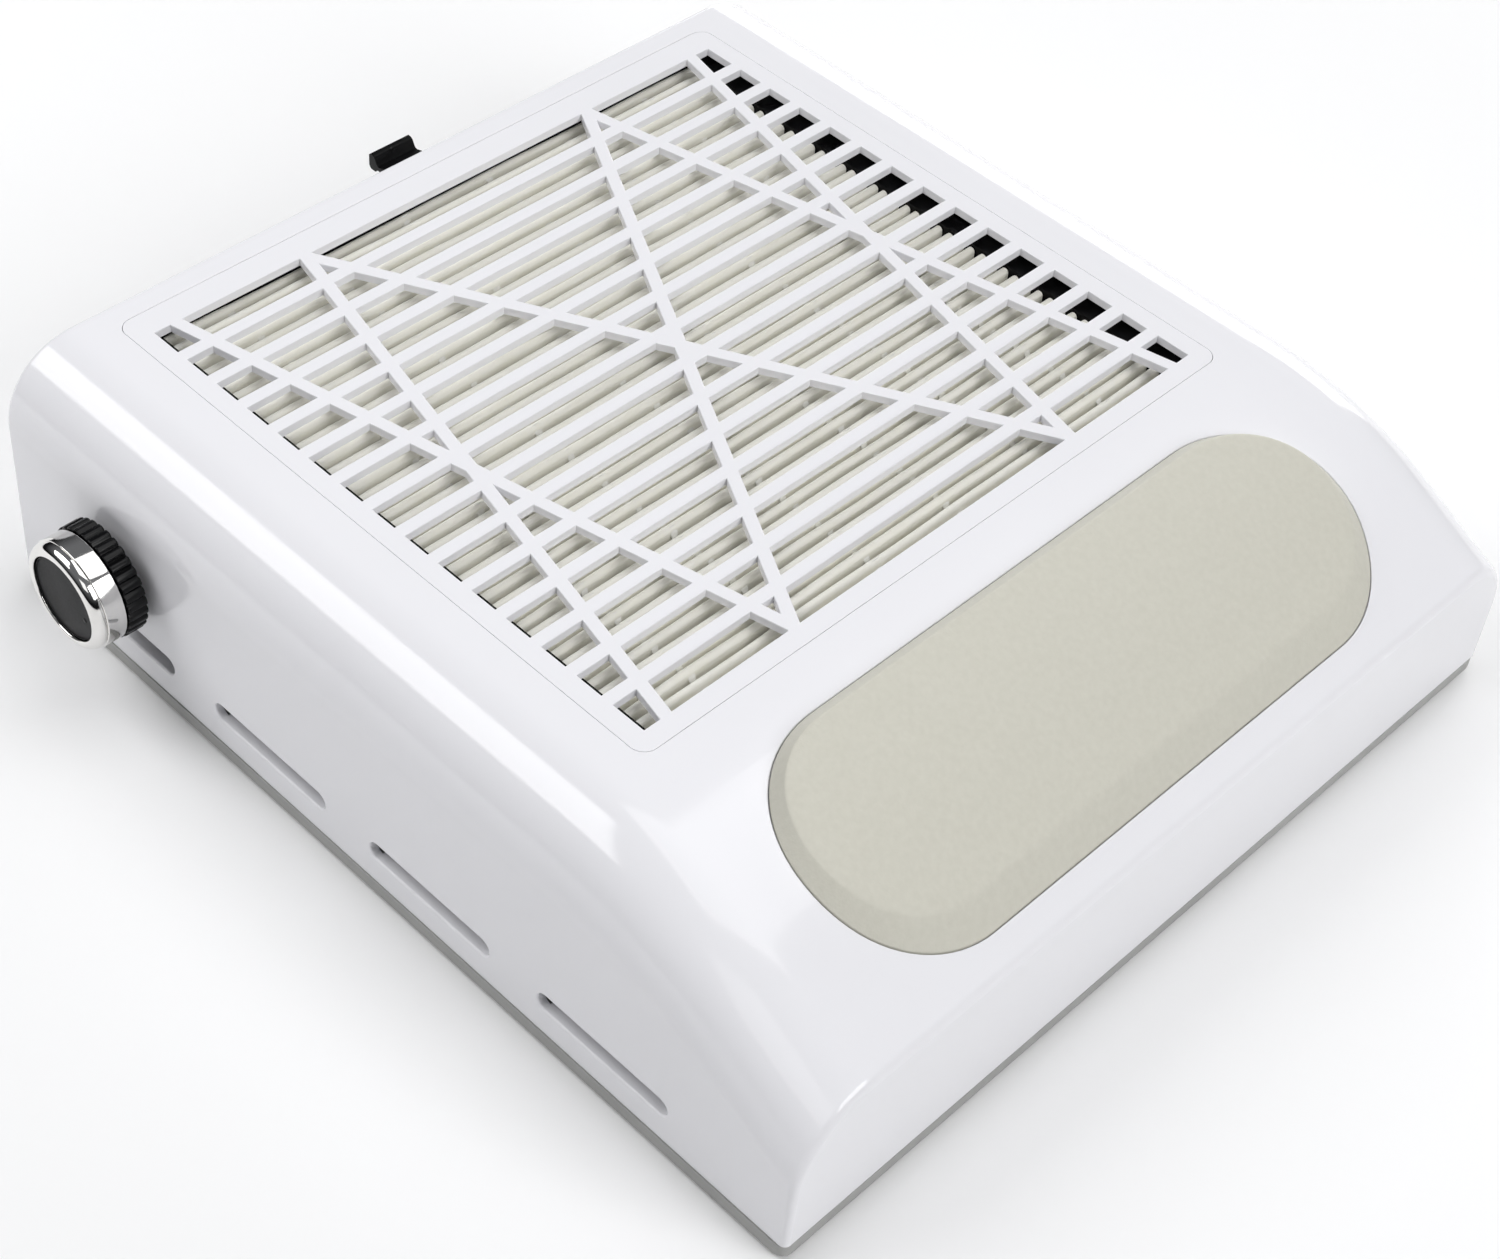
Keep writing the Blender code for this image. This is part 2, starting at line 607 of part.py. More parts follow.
def make_tray(mats, datum):
    top = TRAY_FLOOR + TRAY_THICK
    back = BACK - WALL - GAP
    front = DRAWER_FRONT - 0.5 * MM - TRAY_WALL
    tall = TOP - LEDGE_DROP - 0.5 * MM
    tray = prism("filter_tray", rectangle(-TRAY_HALF_X, TRAY_HALF_X, front, back), TRAY_FLOOR, tall,
                 mat=mats["tray_abs"], parent=datum)
    inner = TRAY_HALF_X - TRAY_WALL
    room = rectangle(-inner, inner, front + TRAY_WALL, back + BEYOND)
    cut(tray, prism("tray_room", room, top, TOP + BEYOND))
    runner = 1.5 * MM
    middles = [side * (TRAY_HALF_X - 5 * runner) for side in (-1, 1)]
    runners = [rectangle(x - runner, x + runner, front + 3 * MM, back - 1 * MM) for x in middles]
    join(tray, prisms("runners", runners, TRAY_FLOOR + TRAY_THICK / 2, DRAWER_BOTTOM - GAP))
    ear = 6 * MM
    ears = [rectangle(side * (x - 8 * MM), side * (x + 5 * MM), y - ear, y + ear)
            for x, y in TRAY_POSTS for side in (-1, 1)]
    join(tray, prisms("ears", ears, TRAY_FLOOR, top - 0.1 * MM))
    throat = INLET_RADIUS + 1.5 * MM
    drop = TRAY_FLOOR - 3.2 * MM
    rise = TRAY_FLOOR + 0.7 * MM
    mouth = [(INLET_RADIUS, drop), (throat, drop), (throat, rise), (INLET_RADIUS, rise)]
    join(tray, turned("bell_mouth", mouth))
    bores = [circle(SCREW_BORE, 8, x, y) for x, y in both_sides(TRAY_POSTS)]
    cut(tray, prisms("ear_bores", bores, 0.0, TOP))
    spokes = 6
    half_spoke = 1.2 * MM
    rings = ((10 * MM, 24 * MM), (26 * MM, 38.5 * MM), (40.5 * MM, INLET_RADIUS - 0.4 * MM))
    gaps = []
    for inner, outer in rings:
        for i in range(spokes):
            middle = math.tau * (i + 0.5) / spokes
            half = math.pi / spokes - half_spoke / (inner + (outer - inner) / 2)
            gaps.append(sector(inner, outer, middle - half, middle + half, 4))
    cut(tray, prisms("guard_gaps", gaps, TRAY_FLOOR - TRAY_THICK, top + TRAY_THICK))


# ---------------------------------------------------------------- fan and motor

def bracket_angles():
    return [math.radians(45.0 + 90.0 * i) for i in range(4)]


def bracket_places():
    return [(BRACKET_REACH * math.cos(a), BRACKET_REACH * math.sin(a)) for a in bracket_angles()]


def bracket_arm(angle):
    """An arm's outline: a bar from under the motor to beyond its screw."""
    half = 5 * MM
    bar = rectangle(15 * MM, BRACKET_REACH + half, -half, half)
    c, s = math.cos(angle), math.sin(angle)
    return [(c * x - s * y, s * x + c * y) for x, y in bar]


def blade(angle):
    """A forward-curved blade's outline, from the inner to the outer edge and back."""
    steps = 2
    thick = 1.0 * MM
    inner, outer = 45 * MM, WHEEL_RADIUS - 1 * MM
    sweep = math.radians(13.0)
    front = []
    rear = []
    for i in range(steps + 1):
        t = i / steps
        radius = inner + (outer - inner) * t
        turn = angle + sweep * t * t
        half = thick / 2 / radius
        front.append((radius * math.cos(turn - half), radius * math.sin(turn - half)))
        rear.append((radius * math.cos(turn + half), radius * math.sin(turn + half)))
    return front + rear[::-1]


def make_fan(mats, datum, spin):
    hub = 24 * MM
    cup = 22.5 * MM
    boss = 5 * MM
    crown = MOTOR_TOP + 1.5 * MM
    roof = crown + 2 * MM
    boss_top = roof + 5 * MM
    disc = WHEEL_BOTTOM + 1.2 * MM
    profile = [
        (cup, WHEEL_BOTTOM), (WHEEL_RADIUS, WHEEL_BOTTOM), (WHEEL_RADIUS, disc), (hub + 4 * MM, disc),
        (hub, WHEEL_BOTTOM + 6 * MM), (hub, crown), (hub - 2 * MM, roof), (boss, roof),
        (boss, boss_top), (SHAFT_BORE, boss_top), (SHAFT_BORE, crown), (cup, crown),
    ]
    wheel = turned("impeller", profile, BLADES, mat=mats["wheel_black"], parent=spin)
    blades = [blade(math.tau * i / BLADES) for i in range(BLADES)]
    ring_in = WHEEL_RADIUS - 6.5 * MM
    ring_low = WHEEL_TOP - 1.6 * MM
    join(wheel, prisms("blades", blades, WHEEL_BOTTOM + 0.6 * MM, WHEEL_TOP - 0.9 * MM))
    ring = [(ring_in, ring_low), (WHEEL_RADIUS, ring_low), (WHEEL_RADIUS, WHEEL_TOP),
            (ring_in, WHEEL_TOP)]
    join(wheel, turned("top_ring", ring, BLADES))
    nut_low = boss_top + GAP
    nut_high = nut_low + 2.4 * MM
    ring_nut("impeller_nut", 3.1 * MM, SHAFT_BORE, nut_low, nut_high, mats["steel"], spin)
    shaft_low = MOTOR_BOTTOM + 1.9 * MM
    prism("motor_shaft", circle(SHAFT_RADIUS), shaft_low, nut_high + 1.6 * MM,
          mat=mats["steel"], parent=spin)

    shoulder = MOTOR_TOP - 1.2 * MM
    case = [
        (SHAFT_BORE, shaft_low - 0.4 * MM), (SHAFT_BORE, MOTOR_TOP), (6 * MM, MOTOR_TOP),
        (6 * MM, shoulder), (MOTOR_RADIUS - 1 * MM, shoulder), (MOTOR_RADIUS, shoulder - 1 * MM),
        (MOTOR_RADIUS, MOTOR_BOTTOM),
    ]
    loops = [[(r * x, r * y, z) for x, y in circle(1.0, 24)] for r, z in reversed(case)]
    motor = loft("motor_case", loops, mat=mats["steel"], parent=datum)
    holes = [circle(MOTOR_SCREW_BORE, 8, x, 0.0) for x in MOTOR_SCREWS]
    cut(motor, prisms("motor_pilots", holes, 0.0, MOTOR_BOTTOM + 4 * MM))

    plate = prism("motor_bracket", circle(24 * MM, 24), BOARD_BOTTOM, BRACKET_TOP,
                  mat=mats["steel"], parent=datum)
    sliver = 0.02 * MM
    arms = [bracket_arm(angle) for angle in bracket_angles()]
    join(plate, prisms("arms", arms, BOARD_BOTTOM + sliver, BRACKET_TOP - sliver))
    bores = [circle(SCREW_BORE, 8, x, y) for x, y in bracket_places()]
    bores += [circle(MOTOR_SCREW_BORE, 8, x, 0.0) for x in MOTOR_SCREWS]
    cut(plate, prisms("bracket_bores", bores, 0.0, WHEEL_BOTTOM))


def ring_nut(name, radius, bore, low, high, mat, parent):
    """A hexagon nut along Z with a plain bore."""
    outer = circle(radius, 6)
    nut = prism(name, outer, low, high, mat=mat, parent=parent)
    cut(nut, prism(name + "_bore", circle(bore), low - 5 * MM, high + 5 * MM))
    return nut


# ---------------------------------------------------------------- speed knob

def make_knob(mats, datum, turn):
    ribs = []
    for i in range(SKIRT_RIBS * 2):
        angle = math.tau * (i + 0.5) / (SKIRT_RIBS * 2)
        radius = SKIRT_RADIUS if i % 2 else SKIRT_RADIUS - RIB_DEPTH
        ribs.append((radius * math.cos(angle), radius * math.sin(angle)))
    skirt = prism("knob_skirt", ribs, 0.0, SKIRT_LENGTH, mat=mats["knob_black"], parent=turn)
    core_top = KNOB_LENGTH - 2.3 * MM
    join(skirt, prism("skirt_core", circle(CORE_RADIUS, 32), 1 * MM, core_top))
    cut(skirt, prism("skirt_hollow", circle(CORE_RADIUS - 2 * MM, 32), -BEYOND, 3.9 * MM))
    cut(skirt, prism("shaft_socket", circle(POT_SHAFT + GAP), -BEYOND, SOCKET_TOP))

    start = SKIRT_LENGTH + GAP
    inside = CORE_RADIUS + GAP
    lip = CAP_RADIUS + GAP
    seat = core_top + GAP
    profile = [
        (inside, start), (RING_RADIUS - 0.3 * MM, start), (RING_RADIUS, start + 0.4 * MM),
        (RING_RADIUS, KNOB_LENGTH - 2.5 * MM), (RING_RADIUS - 0.5 * MM, KNOB_LENGTH - 1.3 * MM),
        (RING_RADIUS - 1.4 * MM, KNOB_LENGTH - 0.4 * MM), (RING_RADIUS - 2.4 * MM, KNOB_LENGTH),
        (lip, KNOB_LENGTH - 0.2 * MM), (lip, seat), (inside, seat),
    ]
    turned("knob_ring", profile, 28, mat=mats["knob_chrome"], parent=turn)

    cap = prism("knob_cap", circle(CAP_RADIUS, 40), seat, KNOB_LENGTH - 0.6 * MM,
                mat=mats["cap_grey"], parent=turn)
    dot_x = POINTER_REACH * math.cos(POINTER_ANGLE)
    dot_y = -POINTER_REACH * math.sin(POINTER_ANGLE)
    dot = circle(POINTER_RADIUS, 12, dot_x, dot_y)
    cut(cap, prism("pointer_dot", dot, KNOB_LENGTH - 1 * MM, KNOB_LENGTH + BEYOND))

    wall = -KNOB_STANDOFF
    shaft_rear = POT_DEPTH - KNOB_REAR
    prism("pot_shaft", circle(POT_SHAFT), shaft_rear, SOCKET_TOP - 0.4 * MM, mat=mats["steel"], parent=turn)
    bore = POT_SHAFT + GAP
    bush = KNOB_HOLE - GAP
    nose = 1.2 * MM
    case_top = wall - WALL - GAP
    case = [
        (bore, shaft_rear - GAP), (bore, nose), (bush, nose), (bush, case_top),
        (POT_RADIUS, case_top), (POT_RADIUS, POT_REAR - KNOB_REAR),
    ]
    fixed = empty("knob_mount", turn.location, datum, turn.rotation_euler)
    loops = [[(r * x, r * y, z) for x, y in circle(1.0, 16)] for r, z in reversed(case)]
    loft("pot_case", loops, mat=mats["steel"], parent=fixed)
    ring_nut("pot_nut", 6.9 * MM, KNOB_HOLE, wall + GAP, wall + 2.5 * MM, mats["steel"], fixed)


# ---------------------------------------------------------------- electrics

def board_places():
    xs = (BOARD_X[0] + BOARD_INSET, BOARD_X[1] - BOARD_INSET)
    ys = (BOARD_Y[0] + BOARD_INSET, BOARD_Y[1] - BOARD_INSET)
    return [(x, y) for x in xs for y in ys]


def make_board(mats, datum):
    top = BOARD_BOTTOM + BOARD_THICK
    board = prism("control_board", rectangle(*BOARD_X, *BOARD_Y), BOARD_BOTTOM, top,
                  mat=mats["board_green"], parent=datum)
    bores = [circle(1.5 * MM, 10, x, y) for x, y in board_places()]
    cut(board, prisms("board_bores", bores, 0.0, top + BEYOND))
    low = top + GAP
    for number, x in enumerate((-80 * MM, -64 * MM), 1):
        profile = ((6.2 * MM, low), (6.2 * MM, low + 17 * MM), (5.6 * MM, low + 18 * MM))
        loops = [[(r * c, r * s, z) for c, s in circle(1.0, 20)] for r, z in profile]
        can = loft(f"capacitor_{number}", loops, mat=mats["can_blue"], parent=datum)
        can.location = (x, -136 * MM, 0.0)

    fins = 5
    pitch = 4.8 * MM
    fin = 1.6 * MM
    left, front, web, tip = -50 * MM, -130 * MM, -127 * MM, -118 * MM
    comb = [(left, front)]
    for i in range(fins):
        start = left + pitch * i
        comb += [(start, tip), (start + fin, tip)]
        if i < fins - 1:
            comb += [(start + fin, web), (start + pitch, web)]
    comb.append((left + pitch * (fins - 1) + fin, front))
    prism("heat_sink", comb, low, low + 18 * MM, mat=mats["aluminium"], parent=datum)
    package = rectangle(left + 5 * MM, left + 15 * MM, front - 4.8 * MM, front - GAP)
    prism("power_transistor", package, low, low + 15 * MM, mat=mats["frame_black"], parent=datum)
    chip = rectangle(-50 * MM, -40 * MM, -146 * MM, -139 * MM)
    prism("control_chip", chip, low, low + 1.6 * MM, mat=mats["frame_black"], parent=datum)

    wall = 1 * MM
    for number, x in enumerate(CONNECTORS, 1):
        name = f"board_connector_{number}"
        low_y, high_y = CONNECTOR_Y
        plug = prism(name, rectangle(x, x + CONNECTOR_LENGTH, low_y, high_y), low, low + CONNECTOR_HEIGHT,
                     mat=mats["nylon"], parent=datum)
        room = rectangle(x + wall, x + CONNECTOR_LENGTH - wall, low_y + wall, high_y - wall)
        cut(plug, prism(name + "_room", room, low + 1.5 * wall, low + CONNECTOR_HEIGHT + BEYOND))


def make_jack(mats, datum):
    jack = empty("jack_axis", (JACK_X, BACK, JACK_Z), datum, (-math.pi / 2, 0.0, 0.0))
    barrel = JACK_HOLE - GAP
    pin = 1.0 * MM
    room = 2.8 * MM
    floor = -9 * MM
    flange = 6.2 * MM
    sleeve = [
        (barrel, -JACK_LENGTH), (barrel, GAP), (flange, GAP), (flange, 1.2 * MM),
        (flange - 0.6 * MM, 1.7 * MM), (room, 1.7 * MM), (room, floor), (pin, floor), (pin, -0.5 * MM),
    ]
    loops = [[(r * x, r * y, z) for x, y in circle(1.0, 16)] for r, z in sleeve]
    loft("jack_socket", loops, mat=mats["frame_black"], parent=jack)
    ring_nut("jack_nut", 6.6 * MM, JACK_HOLE, -WALL - 2.8 * MM, -WALL - GAP, mats["steel"], jack)


def spline(points, steps):
    """Points along a smooth curve through all the given ones."""
    path = []
    last = len(points) - 1
    for i in range(last):
        before, here, there, after = (Vector(points[max(0, min(last, i + k))]) for k in (-1, 0, 1, 2))
        for j in range(steps):
            t = j / steps
            bend = 2 * before - 5 * here + 4 * there - after
            twist = 3 * here - 3 * there + after - before
            path.append(here + 0.5 * t * ((there - before) + t * (bend + t * twist)))
    return path + [Vector(points[-1])]


def cable(name, points, mat, parent):
    """A round cable swept along a smooth curve through points in millimetres."""
    path = spline([Vector(point) * MM for point in points], 4)
    side = Vector((0.0, 0.0, 1.0)).cross(path[1] - path[0])
    if side.length < MM * MM:
        side = Vector((1.0, 0.0, 0.0))
    loops = []
    for before, here, there in zip([path[0]] + path, path, path[1:] + [path[-1]]):
        ahead = (there - before).normalized()
        side = (side - ahead * side.dot(ahead)).normalized()
        up = ahead.cross(side)
        loops.append([here + side * x + up * y for x, y in circle(CABLE_RADIUS, 8)])
    loft(name, loops, mat=mat, parent=parent)


def make_cables(mats, datum):
    """Leads from the motor, the speed knob and the power inlet, each up and over into its connector."""
    plug_y = sum(CONNECTOR_Y) / 2 / MM
    low = (BOARD_BOTTOM + BOARD_THICK) / MM + 3.5
    over = low + 11.0
    lie = CABLE_LEVEL / MM
    motor_x, knob_x, power_x = ((x + CONNECTOR_LENGTH / 2) / MM for x in CONNECTORS)
    motor = [
        (-7.0, -21.5, 12.1), (-9.0, -40.0, 12.1), (-13.0, -66.0, 12.6), (-18.0, -95.0, 16.0),
        (motor_x, -125.0, over - 2), (motor_x, plug_y + 8, over), (motor_x, plug_y, over - 4),
        (motor_x, plug_y, low),
    ]
    knob = [
        (-119.0, 57.3, 33.0), (-115.0, 55.0, 31.0), (-112.0, 44.0, 18.0), (-110.0, 28.0, lie + 2),
        (-106.0, -4.0, lie), (-104.0, -36.0, lie), (-103.0, -70.0, lie), (-101.5, -120.0, lie),
        (-101.0, -140.0, lie + 3),
        (-98.0, plug_y + 2, over - 6), (knob_x - 7, plug_y, over), (knob_x, plug_y, over - 4),
        (knob_x, plug_y, low),
    ]
    power = [
        (95.0, 87.0, 18.0), (95.0, 78.0, 16.0), (97.0, 58.0, lie + 2), (98.0, 30.0, lie),
        (96.0, -60.0, lie),
        (82.0, -112.0, lie), (44.0, -150.0, lie), (8.0, -162.5, lie), (-40.0, -163.2, lie),
        (power_x + 4, -163.0, lie + 3), (power_x, plug_y - 7, over - 4), (power_x, plug_y - 1, over),
        (power_x, plug_y, over - 5), (power_x, plug_y, low),
    ]
    for name, points in (("motor_cable", motor), ("knob_cable", knob), ("power_cable", power)):
        cable(name, points, mats["cable_sheath"], datum)


# ---------------------------------------------------------------- screws

def screw(name, place, seat, length, mat, parent, head=SCREW_HEAD, shank=SCREW_SHANK, up=False):
    """A pan-head screw whose head rests on the seat, with the head below it if the screw points up."""
    thick = 1.4 * MM
    rim = thick - 0.5 * MM
    profile = ((head - 0.6 * MM, thick), (head, rim), (head, 0.0), (shank, 0.0), (shank, -length))
    loops = [[(r * x, r * y, z) for x, y in circle(1.0, 10)] for r, z in profile]
    obj = loft(name, loops, mat=mat, parent=parent)
    obj.location = (*place, seat)
    obj.rotation_euler = (math.pi if up else 0.0, 0.0, 0.0)
    return obj


def cross_recess(obj):
    """Cuts a cross into a screw's head."""
    half = 0.35 * MM
    reach = 1.75 * MM
    quarter = [(half, half), (half, reach), (-half, reach)]
    turns = ((1, 0), (0, 1), (-1, 0), (0, -1))
    outline = [(c * x - s * y, s * x + c * y) for c, s in turns for x, y in quarter]
    recess = prism(obj.name + "_recess", outline, 0.5 * MM, BEYOND)
    recess.location = obj.location
    recess.rotation_euler = obj.rotation_euler
    cut(obj, recess)


def make_screws(mats, datum):
    steel = mats["steel"]
    for number, place in enumerate(both_sides(BASE_POSTS), 1):
        seat = FOOT_STAND + SCREW_SINK - GAP
        cross_recess(screw(f"base_screw_{number}", place, seat, 14 * MM, steel, datum, up=True))
    for number, place in enumerate(both_sides(TRAY_POSTS), 1):
        screw(f"tray_screw_{number}", place, TRAY_FLOOR - GAP, 11 * MM, steel, datum, up=True)
    for number, place in enumerate(bracket_places(), 1):
        screw(f"bracket_screw_{number}", place, BRACKET_TOP + GAP, 4.6 * MM, steel, datum)
    for number, place in enumerate(board_places(), 1):
        seat = BOARD_BOTTOM + BOARD_THICK + GAP
        screw(f"board_screw_{number}", place, seat, 5.0 * MM, steel, datum, head=2.4 * MM, shank=1.0 * MM)
    for number, x in enumerate(MOTOR_SCREWS, 1):
        screw(f"motor_screw_{number}", (x, 0.0), BOARD_BOTTOM - GAP, 4.8 * MM, steel, datum,
              head=2.2 * MM, shank=1.0 * MM, up=True)


def main():
    clear_scene()
    mats = make_materials()
    datum = empty("datum", (DATUM_X, DATUM_Y, 0.0))
    slide = empty("filter_slide", (0.0, 0.0, 0.0), datum)
    spin = empty("fan_axis", (0.0, 0.0, 0.0), datum)
    turn = empty("knob_axis", (-KNOB_REAR, KNOB_Y, KNOB_Z), datum, (0.0, -math.pi / 2, 0.0))
    make_housing(mats, datum)
    make_grille(mats, datum)
    make_pad(mats, datum)
    make_base(mats, datum)
    make_drawer(mats, slide)
    make_tray(mats, datum)
    make_fan(mats, datum, spin)
    make_knob(mats, datum, turn)
    make_board(mats, datum)
    make_jack(mats, datum)
    make_cables(mats, datum)
    make_screws(mats, datum)


main()
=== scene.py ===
"""Looks of the nail dust collector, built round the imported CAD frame. Metres, +Z up.

New shapes are drawn about the fan's axis at table level, with +X to the right and +Y to the back,
and place() moves them into the frame. Their main sizes are read from the CAD nodes' boxes.
"""

import math

import bmesh
import bpy
from mathutils import Matrix, Vector, noise


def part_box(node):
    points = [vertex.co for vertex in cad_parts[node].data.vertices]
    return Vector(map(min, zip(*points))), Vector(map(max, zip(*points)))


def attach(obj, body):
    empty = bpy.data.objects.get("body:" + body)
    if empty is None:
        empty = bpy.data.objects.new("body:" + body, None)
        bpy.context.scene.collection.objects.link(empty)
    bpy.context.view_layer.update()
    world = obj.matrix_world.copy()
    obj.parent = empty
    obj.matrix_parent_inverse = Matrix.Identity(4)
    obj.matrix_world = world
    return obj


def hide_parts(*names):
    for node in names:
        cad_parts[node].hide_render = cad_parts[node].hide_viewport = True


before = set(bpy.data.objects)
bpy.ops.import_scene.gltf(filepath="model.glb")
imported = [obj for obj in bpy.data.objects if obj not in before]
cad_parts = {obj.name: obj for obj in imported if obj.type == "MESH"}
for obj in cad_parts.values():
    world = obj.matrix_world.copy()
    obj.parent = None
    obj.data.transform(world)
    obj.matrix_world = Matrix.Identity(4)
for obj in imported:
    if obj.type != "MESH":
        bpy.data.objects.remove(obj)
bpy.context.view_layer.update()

MM = 0.001
GAP = 0.3 * MM
SEAM = 0.14 * MM  # between the grille panel and its seat
BEYOND = 5.0 * MM  # how far a cutter runs past what it cuts
LEAD = 1.0 * MM  # how far outside a surface a flared cutter starts

shaft_low, shaft_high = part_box("motor_shaft")
AXIS = Vector(((shaft_low.x + shaft_high.x) / 2, (shaft_low.y + shaft_high.y) / 2, 0.0))


def local_box(node):
    """A CAD node's lowest and highest corners, measured from the fan's axis."""
    low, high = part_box(node)
    return low - AXIS, high - AXIS


# Housing
HOUSING_LOW, HOUSING_HIGH = local_box("top_housing")
RIM = HOUSING_LOW.z
TOP = HOUSING_HIGH.z
FRONT = HOUSING_LOW.y
BACK = HOUSING_HIGH.y
HALF_WIDTH = HOUSING_HIGH.x
WALL = 2.2 * MM
SIDE_DRAFT = 0.02
CORNER = 21.0 * MM
EDGE_ROUND = 1.8 * MM
SLOPE_START = -92.4 * MM
SLOPE_RADIUS = 113.0 * MM
SLOPE_ANGLE = math.radians(28.2)
SLOPE_END = SLOPE_START - SLOPE_RADIUS * math.sin(SLOPE_ANGLE)
POST_RADIUS = 3.5 * MM
PILOT_RADIUS = 1.6 * MM
TRAY_TOP = 45.8
POST_TOP = 71.5
# Screw posts on each side, in mm: x, y, foot, top, and from where to where the pilot hole runs
POSTS = (
    (113.0, 88.0, RIM / MM, POST_TOP, 0.0, 20.0),
    (113.0, -28.0, RIM / MM, POST_TOP, 0.0, 20.0),
    (105.0, -155.0, RIM / MM, 52.6, 0.0, 20.0),
    (108.0, 78.0, TRAY_TOP, POST_TOP, 40.0, 57.0),
    (108.0, -75.0, TRAY_TOP, POST_TOP, 40.0, 57.0),
)
MOUTH_PLAY = 0.6 * MM
KNOB_HOLE_RADIUS = 4.5 * MM
JACK_HOLE_RADIUS = 4.2 * MM

# Grille
PANEL_LOW, PANEL_HIGH = local_box("grille_panel")
PANEL_ROUND = 4.0 * MM
PANEL_THICK = 2.3 * MM
LEDGE_WIDTH = 3.2 * MM
LEDGE_DROP = 4.0 * MM
GRILLE_HALF_X = 95.2 * MM
GRILLE_HALF_Y = 86.35 * MM
SLATS = 14
SLAT_PITCH = 11.54 * MM
SLAT_WIDTH = 3.7 * MM
FIRST_SLAT = 75.25 * MM
RIB_WIDTH = 3.5 * MM
RIB_INNER = 48.6 * MM
RIB_OUTER = 88.7 * MM
SMALLEST_CELL = 1.5 * MM * MM

# Hand rest
PAD_HALF_X = 94.4 * MM
PAD_HALF_S = 30.9 * MM
PAD_ROUND = 30.6 * MM
PAD_MIDDLE = -135.2 * MM
PAD_LEAN = math.cos(math.radians(22.2))
PAD_SINK = 1.1 * MM
PAD_RISE = 3.8 * MM
PAD_BEVEL = 4.0 * MM
PAD_FRONT_BEVEL = 6.8 * MM

# Side vents
VENTS = 4
VENT_LENGTH = 41.3 * MM
VENT_HEIGHT = 5.4 * MM
VENT_PITCH = 57.7 * MM
FIRST_VENT = -113.8 * MM
VENT_LEVEL = 16.2 * MM
SHELF_DEPTH = 3.5 * MM  # a shelf behind the wall continues each vent's lower face

# Filter drawer
DRAWER_LOW, DRAWER_HIGH = local_box("filter_frame")
DRAWER_TOP = 68.5 * MM
MEDIA_LOW, MEDIA_HIGH = local_box("filter_media")
PLEATS = 45
PAPER_THICK = 0.45 * MM
RIDGE_RADIUS = 1.15 * MM
VALLEY_RADIUS = 0.72 * MM
GLUE_ROWS = 6
GLUE_SPACING = 28.7 * MM
TAB_LEFT = -5.4 * MM
TAB_RIGHT = 7.9 * MM

# Speed knob
SKIRT_HIGH = local_box("knob_skirt")[1]
RING_LOW, RING_HIGH = local_box("knob_ring")
KNOB_AXIS = Vector((SKIRT_HIGH.x, (RING_LOW.y + RING_HIGH.y) / 2, (RING_LOW.z + RING_HIGH.z) / 2))
KNOB_LENGTH = SKIRT_HIGH.x - RING_LOW.x
SKIRT_LENGTH = 5.6 * MM
SKIRT_RADIUS = 15.1 * MM
SKIRT_RIBS = 32
RING_RADIUS = (RING_HIGH.z - RING_LOW.z) / 2
CORE_RADIUS = 12.4 * MM
CAP_RADIUS = 11.2 * MM
POINTER_ANGLE = math.radians(101.0)
POINTER_REACH = 8.0 * MM

# Stage
FLOOR_HALF = 4.0

# Camera, from the fan's axis, turned by degrees about X, Y and Z
CAMERA_PLACE = Vector((-375.09, -350.16, 507.38)) * MM
CAMERA_TURN = (43.702, -4.221, -45.328)
CAMERA_LENS = 64.56


# ---------------------------------------------------------------- materials

NOISE_LOW, NOISE_HIGH = 0.3, 0.7  # the part of a noise's range that most of its values lie in


